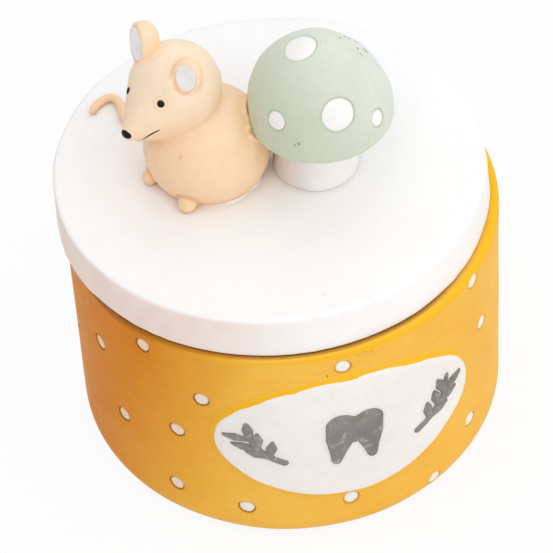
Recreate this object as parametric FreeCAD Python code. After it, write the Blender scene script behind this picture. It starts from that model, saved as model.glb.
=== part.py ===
import FreeCAD, Part
import math
import os

# Baby tooth box of painted cast resin: a round pot, a loose lid, and a mouse beside a mushroom on the lid.
# Frame: origin at the centre of the pot's base, +Z up, the oval medallion faces -Y. Lengths in millimetres.

# Pot
pot_radius = 32.5
pot_height = 41.6
pot_wall = 5.0
pot_floor = 5.0
pot_base_round = 5.3
pot_rim_round = 1.2
pot_mouth_round = 1.0
cavity_round = 3.0

# White dots in shallow pockets of the pot's wall
dot_radius = 1.1
dot_groove = 0.22
dot_depth = 0.35
dot_thickness = 0.25
# Azimuth in degrees from -Y towards +X, and the share of the pot's height
dot_place_shares = (
    (-95.0, 0.58), (-75.5, 0.716), (-67.2, 0.425), (-56.4, 0.911), (-49.5, 0.216), (-47.8, 0.526),
    (-39.7, 0.74), (-29.3, 0.192), (-2.0, 0.925), (-1.3, 0.214), (24.7, 0.102), (40.1, 0.243),
    (42.0, 0.96), (46.7, 0.683), (82.0, 0.20), (84.0, 0.84), (89.0, 0.56), (98.0, 0.31),
    (104.0, 0.91), (114.0, 0.66), (121.0, 0.14), (129.0, 0.44), (140.0, 0.80), (150.0, 0.24),
    (161.0, 0.56), (170.0, 0.92), (180.0, 0.17), (188.0, 0.68), (199.0, 0.40), (208.0, 0.87),
    (216.0, 0.20), (226.0, 0.61), (236.0, 0.36), (243.0, 0.90), (250.0, 0.14),
)

# Oval medallion on the front of the pot, its width measured round the wall
medallion_width = 41.0
medallion_height = 24.7
medallion_centre_share = 0.5685
medallion_tilt = 1.5
medallion_thickness = 0.8
relief_thickness = 0.5
glue_line = 0.05

# Raised tooth and leafy sprigs on the medallion
tooth_width = 9.0
tooth_height = 11.0
# Right half of the tooth from the dip of its crown to the fork of its roots, as shares of half its size
tooth_half_outline_shares = (
    (0.0, 0.80), (0.42, 1.0), (0.90, 0.78), (0.97, 0.28), (0.78, -0.25), (0.64, -0.80), (0.42, -0.95),
    (0.27, -0.48), (0.0, -0.20),
)
sprig_length = 9.5
sprig_centre_share = 0.307
sprig_tilt = 58.0
sprig_bow_share = 0.16
sprig_stem_width = 0.75
leaf_length = 3.4
leaf_width = 1.5
leaf_angle = 38.0
leaf_place_shares = (0.22, 0.46, 0.70)

# Lid and the plug under it
lid_thickness = 6.1
lid_edge_round = 0.8
lid_seat_gap = 0.13
plug_depth = 4.0
plug_clearance = 2.2
plug_edge_round = 0.8
# The loose lid lies off the pot's axis, by a share of the plug's clearance and in this direction from +X
lid_shift_share = 0.865
lid_shift_azimuth = 126.0

# Mushroom, placed by shares of the lid's radius from the lid's axis
stem_x_share = 0.207
stem_y_share = -0.056
stem_radius = 6.45
stem_height = 9.7
stem_waist_share = 0.95
cap_radius = 10.7
cap_dome = 12.1
cap_lip = 1.5
# The cap stands off the stem's axis, by shares of the cap's radius, and leans towards the mouse
cap_x_share = 0.122
cap_y_share = -0.034
cap_lean = 5.0
cap_lean_azimuth = 165.0
spot_groove = 0.2
spot_depth = 0.45
spot_thickness = 0.3
# Azimuth in degrees from +X, angle up the dome in degrees, and the spot's share of the cap's radius
spot_place_shares = (
    (172.9, 80.7, 0.234), (-89.9, 33.1, 0.234), (-144.1, 28.7, 0.133), (-54.6, 13.1, 0.112),
    (75.0, 29.0, 0.20), (36.0, 13.0, 0.165), (116.0, 13.0, 0.15), (0.0, 2.0, 0.1),
)

# Mouse, beside the stem in a direction measured from +X, and looking along its own forward azimuth
mouse_stem_gap = 0.43
mouse_stem_azimuth = 164.7
mouse_azimuth = 205.9
body_radius = 9.3
body_rise = 9.0
body_drop = 9.0
body_sink = 3.93
# Places on the mouse are forward, left and up, as shares of the body's radius
head_place_shares = (0.305, -0.31, 1.81)
head_radius = 6.6
head_back = 7.0
head_turn = 5.0
head_pitch = 11.5
muzzle_reach = 10.7
nose_radius = 0.95
nose_sink_share = 0.75
eye_radius = 0.75
eye_reach_share = 0.50
eye_roll = 36.0
ear_height = 6.8
ear_width = 5.8
ear_thickness = 3.1
ear_splay = 24.0
ear_lean = 8.0
ear_dish_height = 4.5
ear_dish_width = 3.3
ear_dish_depth = 1.0
ear_dish_inset = 0.3
ear_lining = 0.3
# Centres of the ears from the head's centre, as shares of the head's radius
ear_place_shares = (0.16, 0.715, 0.91)
foot_radius = 1.3
foot_height = 3.4
foot_place_shares = {"left": (0.85, 0.41), "right": (0.80, -0.45)}

# Tail from the rump to its tip: forward, left and height above the lid, as shares of the body's radius
tail_route_shares = (
    (-0.55, -0.18, 0.30), (-0.90, -0.42, 0.12), (-0.61, -0.88, 0.0), (-0.08, -1.27, 0.0), (0.20, -1.66, 0.0),
    (0.09, -1.93, 0.0), (0.02, -2.13, 0.0), (0.07, -2.26, 0.0), (0.28, -2.29, 0.0), (0.51, -2.21, 0.0),
)
tail_root_radius = 0.85
tail_tip_radius = 0.6
tail_sink_share = 0.2
tail_stations = 28
# The tail's last rings from the tip inwards, as shares of its radius
tail_tip_shares = (0.45, 0.85)

# Reach of the space above the lid that the mouse keeps to, as a share of the body's radius
mouse_reach_share = 4.0

# One overrun for all cuts
overrun = 1.0

# Places worked out from the sizes above
up = FreeCAD.Vector(0, 0, 1)
forward = FreeCAD.Vector(1, 0, 0)
leftward = FreeCAD.Vector(0, 1, 0)
origin = FreeCAD.Vector(0, 0, 0)
cavity_radius = pot_radius - pot_wall
medallion_centre_height = pot_height * medallion_centre_share
sprig_centre = medallion_width * sprig_centre_share
# The lid is as wide as the pot
lid_radius = pot_radius
plug_radius = cavity_radius - plug_clearance
lid_shift = plug_clearance * lid_shift_share
lid_x = lid_shift * math.cos(math.radians(lid_shift_azimuth))
lid_y = lid_shift * math.sin(math.radians(lid_shift_azimuth))
lid_bottom = pot_height + lid_seat_gap
lid_top = lid_bottom + lid_thickness
stem_x = lid_x + lid_radius * stem_x_share
stem_y = lid_y + lid_radius * stem_y_share
cap_x = stem_x + cap_radius * cap_x_share
cap_y = stem_y + cap_radius * cap_y_share
cap_wide_height = stem_height + cap_lip
mouse_stem_distance = stem_radius + mouse_stem_gap + body_radius
mouse_x = stem_x + mouse_stem_distance * math.cos(math.radians(mouse_stem_azimuth))
mouse_y = stem_y + mouse_stem_distance * math.sin(math.radians(mouse_stem_azimuth))


def lathe_point(radius, height):
    """Point of a half profile, in the XZ plane."""
    return FreeCAD.Vector(radius, 0, height)


def line(start, end):
    """Straight edge between two points."""
    return Part.LineSegment(start, end).toShape()


def quarter_round(centre, half_width, half_height):
    """Quarter of an ellipse in the XZ plane, from its point on the X side to its point on the Z side."""
    diagonal = math.sqrt(0.5)
    unit_arc = Part.Arc(lathe_point(1, 0), lathe_point(diagonal, diagonal), lathe_point(0, 1)).toShape()
    matrix = FreeCAD.Matrix()
    matrix.scale(half_width, 1, half_height)
    matrix.move(centre)
    return unit_arc.transformGeometry(matrix)


def lathe(edges):
    """Solid of a closed half profile turned about the Z axis."""
    wire = Part.Wire(Part.__sortEdges__(edges))
    return Part.Face(wire).revolve(origin, up, 360)


def round_bar(radius, bottom, top, bottom_round, top_round):
    """Round solid on the Z axis with rounded bottom and top edges."""
    low_centre = lathe_point(radius - bottom_round, bottom + bottom_round)
    high_centre = lathe_point(radius - top_round, top - top_round)
    return lathe([
        line(lathe_point(0, bottom), lathe_point(radius - bottom_round, bottom)),
        quarter_round(low_centre, bottom_round, -bottom_round),
        line(lathe_point(radius, bottom + bottom_round), lathe_point(radius, top - top_round)),
        quarter_round(high_centre, top_round, top_round),
        line(lathe_point(radius - top_round, top), lathe_point(0, top)),
        line(lathe_point(0, top), lathe_point(0, bottom)),
    ])


def moved(shape, x, y, z):
    """Copy of a shape, moved from the origin."""
    copy = shape.copy()
    copy.translate(FreeCAD.Vector(x, y, z))
    return copy


def ellipsoid(half_x, half_y, half_z):
    """Ellipsoid about the origin."""
    matrix = FreeCAD.Matrix()
    matrix.scale(half_x, half_y, half_z)
    return Part.makeSphere(1).transformGeometry(matrix)


def save(name, shape):
    """Write one sub-part to its own file."""
    shape.exportStep(f"parts/{name}.step")
    print(name, "solids", len(shape.Solids), "volume", round(shape.Volume, 2), "valid", shape.isValid())


# Pot: the cup and its dots


def cup():
    """Straight cup with a rounded base, rim and mouth."""
    outside = round_bar(pot_radius, 0, pot_height, pot_base_round, pot_rim_round)
    cavity = round_bar(cavity_radius, pot_floor, pot_height + overrun, cavity_round, overrun / 2)
    mouth_radius = cavity_radius + pot_mouth_round
    mouth_bottom = pot_height - pot_mouth_round
    mouth = lathe([
        line(lathe_point(0, mouth_bottom), lathe_point(cavity_radius, mouth_bottom)),
        quarter_round(lathe_point(mouth_radius, mouth_bottom), -pot_mouth_round, pot_mouth_round),
        line(lathe_point(mouth_radius, pot_height), lathe_point(0, pot_height)),
        line(lathe_point(0, pot_height), lathe_point(0, mouth_bottom)),
    ])
    return outside.cut([cavity, mouth])


def wall_place(azimuth, height):
    """Point on the pot's outside and the direction that faces out of it there."""
    lean = math.asin(max(0, pot_base_round - height) / pot_base_round)
    radius = pot_radius - pot_base_round * (1 - math.cos(lean))
    turn = math.radians(azimuth)
    outward = FreeCAD.Vector(math.sin(turn), -math.cos(turn), 0)
    facing = outward * math.cos(lean) - up * math.sin(lean)
    return outward * radius + up * height, facing


def build_pot():
    """Cup with a pocket for each dot, and the dots as one group."""
    pockets = []
    dots = []
    for azimuth, height_share in dot_place_shares:
        point, facing = wall_place(azimuth, pot_height * height_share)
        seat = point - facing * dot_depth
        pockets.append(Part.makeCylinder(dot_radius + dot_groove, dot_depth + overrun, seat, facing))
        dots.append(Part.makeCylinder(dot_radius, dot_thickness, seat, facing))
    save("pot", cup().cut(pockets))
    save("pot_dots", Part.makeCompound(dots))


# Medallion and its relief


def medallion_point(across, above):
    """Point in the XZ plane, from the medallion's centre."""
    return lathe_point(across, medallion_centre_height + above)


def front_prism(wire):
    """Outline in the XZ plane, tilted with the medallion and carried forward past the pot's front."""
    face = Part.Face(wire)
    face.rotate(medallion_point(0, 0), leftward, medallion_tilt)
    return face.extrude(FreeCAD.Vector(0, -pot_radius - medallion_thickness - overrun, 0))


def on_wall(prism, inner_radius, thickness):
    """The part of a prism that lies in a skin round the pot's axis."""
    outer = Part.makeCylinder(inner_radius + thickness, pot_height)
    inner = Part.makeCylinder(inner_radius, pot_height)
    return prism.common(outer.cut(inner))


def oval_wire():
    """Outline of the medallion as seen from the front."""
    half_width = pot_radius * math.sin(medallion_width / 2 / pot_radius)
    half_height = medallion_height / 2
    centre = medallion_point(0, 0)
    signs = ((1, 1), (-1, 1), (-1, -1), (1, -1))
    quarters = [quarter_round(centre, half_width * across, half_height * above) for across, above in signs]
    return Part.Wire(Part.__sortEdges__(quarters))


def tooth_wire():
    """Outline of the raised tooth: a smooth closed curve, the same on both sides."""
    half_width = tooth_width / 2
    half_height = tooth_height / 2
    right = [(half_width * across, half_height * above) for across, above in tooth_half_outline_shares]
    left = [(-across, above) for across, above in reversed(right[1:-1])]
    curve = Part.BSplineCurve()
    curve.interpolate([medallion_point(across, above) for across, above in right + left], PeriodicFlag=True)
    return Part.Wire(curve.toShape())


def blade_wire(root, tip, low_bow, high_bow):
    """Slender outline from root to tip between two arcs, each bowed to the left of the way to the tip."""
    along = tip - root
    left = FreeCAD.Vector(-along.z, 0, along.x).normalize()
    middle = (root + tip) / 2
    low_edge = Part.Arc(root, middle + left * low_bow, tip).toShape()
    high_edge = Part.Arc(tip, middle + left * high_bow, root).toShape()
    return Part.Wire([low_edge, high_edge])


def sprig(side):
    """Leafy twig on one side of the medallion, bowed round the tooth. Side is 1 or -1 along X."""
    tilt = math.radians(sprig_tilt)
    along = FreeCAD.Vector(math.cos(tilt) * side, 0, math.sin(tilt))
    outward = FreeCAD.Vector(math.sin(tilt) * side, 0, -math.cos(tilt))
    root = medallion_point(sprig_centre * side, 0) - along * (sprig_length / 2)
    bow = sprig_length * sprig_bow_share * side
    half_stem = sprig_stem_width / 2
    stem = blade_wire(root, root + along * sprig_length, -bow - half_stem, -bow + half_stem)
    wires = [stem]
    for place_share in leaf_place_shares:
        reach = 4 * place_share * (1 - place_share)
        foot = root + along * (sprig_length * place_share) + outward * (abs(bow) * reach)
        for turn in (leaf_angle, -leaf_angle):
            way = FreeCAD.Rotation(leftward, turn).multVec(along)
            wires.append(blade_wire(foot, foot + way * leaf_length, -leaf_width / 2, leaf_width / 2))
    prisms = [front_prism(wire) for wire in wires]
    return prisms[0].fuse(prisms[1:])


def build_medallion():
    """Oval plaque against the wall, with the raised tooth between two sprigs."""
    seat_radius = pot_radius + glue_line
    face_radius = seat_radius + medallion_thickness + glue_line
    save("medallion", on_wall(front_prism(oval_wire()), seat_radius, medallion_thickness))
    save("medallion_tooth", on_wall(front_prism(tooth_wire()), face_radius, relief_thickness))
    for name, side in (("left_sprig", -1), ("right_sprig", 1)):
        save(name, on_wall(sprig(side), face_radius, relief_thickness).removeSplitter())


# Lid and mushroom


def build_lid():
    """Flat lid with the plug that keeps it in the pot's mouth."""
    lid = round_bar(lid_radius, lid_bottom, lid_top, lid_edge_round / 2, lid_edge_round)
    plug = round_bar(plug_radius, lid_bottom - plug_depth, lid_bottom, plug_edge_round, plug_edge_round / 2)
    save("lid", moved(lid, lid_x, lid_y, 0))
    save("lid_plug", moved(plug, lid_x, lid_y, 0))


def cap_placement():
    """Place of the cap: the centre of its widest circle, with its axis leaning."""
    turn = math.radians(cap_lean_azimuth)
    lean_axis = FreeCAD.Vector(-math.sin(turn), math.cos(turn), 0)
    centre = FreeCAD.Vector(cap_x, cap_y, lid_top + cap_wide_height)
    return FreeCAD.Placement(centre, FreeCAD.Rotation(lean_axis, cap_lean))


def mushroom_dome():
    """Cap with a flat underside, a rounded lip and a tall dome."""
    dome = lathe([
        line(lathe_point(0, -cap_lip), lathe_point(cap_radius - cap_lip, -cap_lip)),
        quarter_round(lathe_point(cap_radius - cap_lip, 0), cap_lip, -cap_lip),
        quarter_round(origin, cap_radius, cap_dome),
        line(lathe_point(0, cap_dome), lathe_point(0, -cap_lip)),
    ])
    dome.Placement = cap_placement()
    return dome


def mushroom_stem(dome):
    """Thick stem, drawn in a little at its middle and cut back to the cap's underside."""
    foot = lathe_point(stem_radius, 0)
    waist = lathe_point(stem_radius * stem_waist_share, cap_wide_height / 2)
    top = lathe_point(stem_radius, cap_wide_height)
    stem = lathe([
        line(origin, foot),
        Part.Arc(foot, waist, top).toShape(),
        line(top, lathe_point(0, cap_wide_height)),
        line(lathe_point(0, cap_wide_height), origin),
    ])
    return moved(stem, stem_x, stem_y, lid_top).cut(dome)


def dome_place(azimuth, rise):
    """Point on the cap's dome and the direction that faces out of it there."""
    turn = math.radians(azimuth)
    slope = math.radians(rise)
    outward = FreeCAD.Vector(math.cos(turn), math.sin(turn), 0)
    point = outward * (cap_radius * math.cos(slope)) + up * (cap_dome * math.sin(slope))
    facing = outward * (math.cos(slope) / cap_radius) + up * (math.sin(slope) / cap_dome)
    place = cap_placement()
    return place.multVec(point), place.Rotation.multVec(facing).normalize()


def build_mushroom(stem, dome):
    """Stem, and the cap with a pocket for each spot and the spots as one group."""
    pockets = []
    spots = []
    for azimuth, rise, radius_share in spot_place_shares:
        point, facing = dome_place(azimuth, rise)
        spot_radius = cap_radius * radius_share
        sagitta = spot_radius * spot_radius / (2 * cap_radius)
        seat = point - facing * (spot_depth + sagitta)
        thickness = spot_thickness + sagitta
        pockets.append(Part.makeCylinder(spot_radius + spot_groove, thickness + overrun, seat, facing))
        spots.append(Part.makeCylinder(spot_radius, thickness, seat, facing))
    save("mushroom_stem", stem)
    save("mushroom_cap", dome.cut(pockets))
    save("mushroom_spots", Part.makeCompound(spots))


# Mouse, built looking along +X at the origin of the lid's top, then set in its place


def set_on_lid(shape):
    """Mouse piece, turned to its azimuth and carried to its place on the lid."""
    placed = shape.copy()
    seat = FreeCAD.Placement(FreeCAD.Vector(mouse_x, mouse_y, lid_top), FreeCAD.Rotation(up, mouse_azimuth))
    placed.Placement = seat.multiply(placed.Placement)
    return placed


def on_body(shares):
    """Point on the mouse from its shares of the body's radius."""
    return FreeCAD.Vector(*shares) * body_radius


def above_lid(shape):
    """What of a mouse piece stands above the lid's top."""
    reach = body_radius * mouse_reach_share
    block = Part.makeBox(2 * reach, 2 * reach, reach, FreeCAD.Vector(-reach, -reach, 0))
    return shape.common(block)


def mouse_torso():
    """Round sitting body with a small flat seat."""
    middle = lathe_point(0, body_drop - body_sink)
    torso = lathe([
        quarter_round(middle, body_radius, body_rise),
        quarter_round(middle, body_radius, -body_drop),
        line(lathe_point(0, middle.z - body_drop), lathe_point(0, middle.z + body_rise)),
    ])
    return above_lid(torso)


def tilted(turn, pitch):
    """Rotation that pitches down and then turns to the left, in degrees."""
    return FreeCAD.Rotation(up, turn).multiply(FreeCAD.Rotation(leftward, pitch))


def head_placement():
    """Place of the head: its own +Z looks forward and a little down."""
    return FreeCAD.Placement(on_body(head_place_shares), tilted(head_turn, 90 + head_pitch))


def head_form():
    """Egg-shaped skull that tapers to the muzzle along a parabola, before it is set against the body."""
    back = lathe_point(0, -head_back)
    tip = lathe_point(0, muzzle_reach)
    taper = Part.BezierCurve()
    taper.setPoles([lathe_point(head_radius, 0), lathe_point(head_radius, muzzle_reach / 2), tip])
    head = lathe([
        quarter_round(origin, head_radius, -head_back),
        taper.toShape(),
        line(tip, back),
    ])
    head.Placement = head_placement()
    return head


def on_muzzle(reach_share, roll):
    """Point on the taper of the muzzle, at a share of its reach and rolled from the top towards the left."""
    radius = head_radius * (1 - reach_share ** 2)
    turn = math.radians(roll)
    local = FreeCAD.Vector(-radius * math.cos(turn), radius * math.sin(turn), muzzle_reach * reach_share)
    return head_placement().multVec(local)


def ear_pieces(side, head):
    """Ear with a dished front, and the lining of the dish. Side is 1 for the left and -1 for the right."""
    ahead, aside, above = ear_place_shares
    offset = FreeCAD.Vector(ahead, aside * side, above) * head_radius
    centre = on_body(head_place_shares) + tilted(head_turn, 0).multVec(offset)
    place = FreeCAD.Placement(centre, tilted(head_turn + ear_splay * side, -ear_lean))
    flap = ellipsoid(ear_thickness / 2, ear_width / 2, ear_height / 2)
    mouth = forward * (ear_thickness / 2 - ear_dish_inset)
    half_width = ear_dish_width / 2
    half_height = ear_dish_height / 2
    dish = ellipsoid(ear_dish_depth, half_width, half_height)
    bed = ellipsoid(ear_dish_depth + ear_lining, half_width + ear_lining, half_height + ear_lining)
    dish.translate(mouth)
    bed.translate(mouth)
    pieces = [flap.cut(bed), flap.common(bed).cut(dish)]
    for piece in pieces:
        piece.Placement = place.multiply(piece.Placement)
    return [piece.cut(head) for piece in pieces]


def tail_form():
    """Tapered tail that comes down from the rump and lies curled on the lid."""
    points = []
    for ahead, aside, height in tail_route_shares:
        rest = tail_root_radius * (1 - tail_sink_share)
        points.append(on_body((ahead, aside, height)) + up * rest)
    route = Part.BSplineCurve()
    route.interpolate(points)
    rings = []
    for station in range(tail_stations + 1):
        share = station / tail_stations
        place = route.FirstParameter + (route.LastParameter - route.FirstParameter) * share
        radius = tail_root_radius + (tail_tip_radius - tail_root_radius) * share
        from_tip = tail_stations - station
        if from_tip < len(tail_tip_shares):
            radius = radius * tail_tip_shares[from_tip]
        ring = Part.Circle(route.value(place), FreeCAD.Vector(*route.tangent(place)[0]), radius)
        rings.append(Part.Wire(ring.toShape()))
    return above_lid(Part.makeLoft(rings, True))


def foot_form(shares):
    """Small round-topped foot on the lid."""
    foot = lathe([
        line(origin, lathe_point(foot_radius, 0)),
        quarter_round(origin, foot_radius, foot_height),
        line(lathe_point(0, foot_height), origin),
    ])
    ahead, aside = shares
    return moved(foot, body_radius * ahead, body_radius * aside, 0)


def build_mouse(stem, dome):
    """Mouse, each piece cut back to the one that it grows out of, with the mushroom beside it."""
    torso = mouse_torso()
    head = head_form()
    save("mouse_body", set_on_lid(torso).cut([stem, dome]))
    save("mouse_head", set_on_lid(head.cut(torso)))
    muzzle_tip = head_placement().multVec(up * (muzzle_reach - nose_radius * nose_sink_share))
    save("nose", set_on_lid(Part.makeSphere(nose_radius, muzzle_tip).cut(head)))
    for name, side in (("left", 1), ("right", -1)):
        ear, lining = ear_pieces(side, head)
        eye = Part.makeSphere(eye_radius, on_muzzle(eye_reach_share, eye_roll * side))
        save(f"{name}_ear", set_on_lid(ear))
        save(f"{name}_inner_ear", set_on_lid(lining))
        save(f"{name}_eye", set_on_lid(eye.cut(head)))
        save(f"{name}_foot", set_on_lid(foot_form(foot_place_shares[name]).cut(torso)))
    save("tail", set_on_lid(tail_form().cut(torso)))


os.makedirs("parts", exist_ok=True)
build_pot()
build_medallion()
build_lid()
dome_solid = mushroom_dome()
stem_solid = mushroom_stem(dome_solid)
build_mushroom(stem_solid, dome_solid)
build_mouse(stem_solid, dome_solid)
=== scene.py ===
import itertools
import logging
import math
from abc import ABC, abstractmethod
from dataclasses import dataclass, field
from enum import Enum
from functools import cached_property
from typing import Iterator, Sequence

import bpy
import numpy as np
from mathutils import Matrix, Vector


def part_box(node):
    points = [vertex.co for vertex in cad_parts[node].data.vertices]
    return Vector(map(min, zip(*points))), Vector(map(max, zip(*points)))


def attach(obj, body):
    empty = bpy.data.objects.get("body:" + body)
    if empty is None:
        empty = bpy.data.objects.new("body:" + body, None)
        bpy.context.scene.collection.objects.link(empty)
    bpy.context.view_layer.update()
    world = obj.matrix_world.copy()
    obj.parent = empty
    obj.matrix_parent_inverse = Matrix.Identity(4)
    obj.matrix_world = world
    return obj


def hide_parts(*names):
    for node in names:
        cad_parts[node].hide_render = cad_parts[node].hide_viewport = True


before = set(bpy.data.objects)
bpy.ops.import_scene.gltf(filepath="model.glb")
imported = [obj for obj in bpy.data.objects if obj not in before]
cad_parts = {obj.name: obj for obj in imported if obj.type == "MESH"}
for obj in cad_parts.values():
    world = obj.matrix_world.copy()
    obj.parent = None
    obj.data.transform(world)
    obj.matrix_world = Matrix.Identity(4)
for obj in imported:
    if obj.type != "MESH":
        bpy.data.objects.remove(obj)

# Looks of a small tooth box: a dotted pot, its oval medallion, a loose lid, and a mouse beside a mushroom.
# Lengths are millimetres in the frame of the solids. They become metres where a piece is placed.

log = logging.getLogger("tooth_box")

Array = np.ndarray
Pair = tuple[float, float]
Triple = tuple[float, float, float]
Colour = tuple[int, int, int]
Faces = list[tuple[int, ...]]
Socket = bpy.types.NodeSocket
MILLIMETRE = 0.001
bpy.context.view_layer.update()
# How far the loose lid lies from the place of its solid
LID_NUDGE = (0.06, -0.41, 0.0)


class Rider(Enum):
    """Bodies of the solids that a piece can move with."""

    POT = "pot"
    PLUG = "plug"
    LID = "lid"


class Slot(Enum):
    """Material slots of the part's record."""

    MUSTARD = "mustard_paint"
    WHITE = "white_paint"
    GREY = "grey_paint"
    PEACH = "peach_paint"
    SAGE = "sage_paint"
    BLACK = "black_paint"


class Side(Enum):
    """Sides of the medallion or of the mouse, as the sign along the axis that crosses it."""

    LEFT = 1
    RIGHT = -1


# Measures taken from the solids


def node_box(node: str) -> tuple[Array, Array]:
    """Box of a solid.

    Args:
        node: Name of the solid's node.

    Returns:
        Lowest and highest corner.
    """
    low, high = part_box(node)
    return np.array(low) / MILLIMETRE, np.array(high) / MILLIMETRE


def node_islands(node: str) -> list[Array]:
    """Separate solids of a group node.

    Args:
        node: Name of the group's node.

    Returns:
        The corner points of each solid.
    """
    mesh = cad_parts[node].data
    corners = np.array([vertex.co for vertex in mesh.vertices]) / MILLIMETRE
    points, merged = np.unique(corners.round(4), axis=0, return_inverse=True)
    edges = merged.ravel()[np.array([edge.vertices for edge in mesh.edges])]
    labels = np.arange(len(points))
    while True:
        lowest = labels.copy()
        np.minimum.at(lowest, edges[:, 0], labels[edges[:, 1]])
        np.minimum.at(lowest, edges[:, 1], labels[edges[:, 0]])
        if np.array_equal(lowest, labels):
            break
        labels = lowest
    return [points[labels == label] for label in np.unique(labels)]


# Forms


def unit(vector: Array) -> Array:
    """Vectors of length one along the last axis."""
    return vector / np.maximum(np.linalg.norm(vector, axis=-1, keepdims=True), 1e-12)


def ease(value: Array, start: float, end: float) -> Array:
    """Smooth rise from 0 at start to 1 at end."""
    share = np.clip((value - start) / (end - start), 0, 1)
    return share * share * (3 - 2 * share)


def full_turn(steps: int) -> Array:
    """Angles of a full turn in equal steps."""
    return np.arange(steps) * math.tau / steps


def round_cone(points: Array, start: Sequence[float], end: Sequence[float], radii: Pair) -> Array:
    """Distance to a ball that runs along a line and changes its size, in the plane or in space.

    Args:
        points: Where to measure.
        start: Centre of the ball at its first place.
        end: Centre of the ball at its last place.
        radii: Radius of the ball at both places.

    Returns:
        The distance at each point, negative inside.
    """
    line = np.subtract(end, start)
    length = np.linalg.norm(line)
    taper = (radii[0] - radii[1]) / length
    offset = points - np.asarray(start, float)
    along = offset @ (line / length)
    across = np.sqrt(np.maximum((offset**2).sum(-1) - along**2, 0))
    place = np.clip(along - taper * across / math.sqrt(1 - taper**2), 0, length)
    return np.hypot(across, along - place) - (radii[0] - taper * place)


def ellipsoid(points: Array, centre: Sequence[float], radii: Sequence[float]) -> Array:
    """Near distance to an ellipsoid along the axes, negative inside."""
    local = (points - np.asarray(centre, float)) / np.asarray(radii, float)
    near = np.maximum(np.linalg.norm(local, axis=-1), 1e-9)
    steep = np.maximum(np.linalg.norm(local / np.asarray(radii, float), axis=-1), 1e-9)
    return near * (near - 1) / steep


def merge(first: Array, second: Array, fillet: float) -> Array:
    """Union of two forms with a soft fillet between them."""
    share = np.clip(0.5 + 0.5 * (second - first) / fillet, 0, 1)
    return second + (first - second) * share - fillet * share * (1 - share)


def carve(form: Array, tool: Array, fillet: float) -> Array:
    """Form with a tool taken out of it, with soft edges."""
    return -merge(-form, tool, fillet)


@dataclass(frozen=True)
class Unevenness:
    """Gentle ups and downs that hand casting leaves on a surface."""

    height: float
    wavelength: float
    seed: int
    waves: int = 9

    def at(self, points: Array) -> Array:
        """Height of the surface above its true form at each point."""
        dice = np.random.default_rng(self.seed)
        ways = unit(dice.normal(size=(self.waves, 3))) * dice.uniform(0.7, 1.5, (self.waves, 1))
        phases = dice.uniform(0, math.tau, self.waves)
        swings = np.sin(points @ ways.T * (math.tau / self.wavelength) + phases)
        return self.height * swings.sum(-1) / math.sqrt(self.waves)


@dataclass(frozen=True)
class Skin:
    """Points and faces of one surface, and at each point its wash and painted shade, or below zero its
    painted light.
    """

    points: Array
    faces: Faces
    wash_shade_light: Array

    @staticmethod
    def plain(points: Array, faces: Faces) -> "Skin":
        """Skin with no wash, no painted shade and no painted light."""
        return Skin(points, faces, np.zeros(len(points)))

    @staticmethod
    def joined(skins: Sequence["Skin"]) -> "Skin":
        """One skin out of several that don't share points."""
        starts = np.cumsum([0] + [len(skin.points) for skin in skins])
        faces = [
            tuple(corner + start for corner in face)
            for skin, start in zip(skins, starts)
            for face in skin.faces
        ]
        points = np.concatenate([skin.points for skin in skins])
        return Skin(points, faces, np.concatenate([skin.wash_shade_light for skin in skins]))

    def moved(self, points: Array) -> "Skin":
        """Same faces on other points."""
        return Skin(points, self.faces, self.wash_shade_light)


def face_list(corners: Array) -> Faces:
    """Corner numbers of each face as plain tuples."""
    return [tuple(face) for face in corners.tolist()]


def loop_faces(rows: int, columns: int, closed: bool = True) -> Faces:
    """Four-cornered faces between rows of points.

    Args:
        rows: Number of rows.
        columns: Points in a row.
        closed: Whether each row runs back to its first point.

    Returns:
        The corner numbers of each face.
    """
    grid = np.arange(rows * columns).reshape(rows, columns)
    if closed:
        grid = np.concatenate([grid, grid[:, :1]], axis=1)
    corners = np.stack([grid[:-1, :-1], grid[:-1, 1:], grid[1:, 1:], grid[1:, :-1]], -1)
    return face_list(corners.reshape(-1, 4))


def fan_faces(tip: int, ring: Sequence[int], outward: bool) -> Faces:
    """Three-cornered faces between a ring of points and the point that closes it."""
    following = list(ring[1:]) + [ring[0]]
    return [(tip, b, a) if outward else (tip, a, b) for a, b in zip(ring, following)]


def rounded_line(corners: Sequence[Triple], step: float) -> Array:
    """Half profile with rounded corners.

    Args:
        corners: Radius and height of each corner, and the radius of its rounding.
        step: Greatest distance between points of the profile.

    Returns:
        Radius and height of each point.
    """
    bends = [np.array([corners[0][:2]])]
    for before, corner, after in zip(corners, corners[1:], corners[2:]):
        here = np.array(corner[:2])
        to_before = unit(np.array(before[:2]) - here)
        to_after = unit(np.array(after[:2]) - here)
        half = math.acos(np.clip(to_before @ to_after, -1, 1)) / 2
        centre = here + unit(to_before + to_after) * corner[2] / math.sin(half)
        reach = corner[2] / math.tan(half)
        first, last = here + to_before * reach - centre, here + to_after * reach - centre
        turn = math.pi - 2 * half
        shares = np.linspace(0, 1, max(4, math.ceil(corner[2] * turn / step) + 1))[:, None]
        arc = first * np.sin((1 - shares) * turn) + last * np.sin(shares * turn)
        bends.append(centre + arc / math.sin(turn))
    bends.append(np.array([corners[-1][:2]]))
    line = [bends[0]]
    for bend in bends[1:]:
        gap = bend[0] - line[-1][-1]
        count = max(1, math.ceil(np.linalg.norm(gap) / step))
        shares = np.arange(1, count)[:, None] / count
        line += [line[-1][-1] + gap * shares, bend]
    return np.concatenate(line)


def spun(across: Array, upwards: Array, columns: int) -> Array:
    """Points or directions of a half profile, carried round the Z axis."""
    angles = full_turn(columns)
    across, upwards = across[:, None], upwards[:, None]
    rings = np.stack([across * np.cos(angles), across * np.sin(angles), upwards + 0 * angles], -1)
    return rings.reshape(-1, 3)


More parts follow.
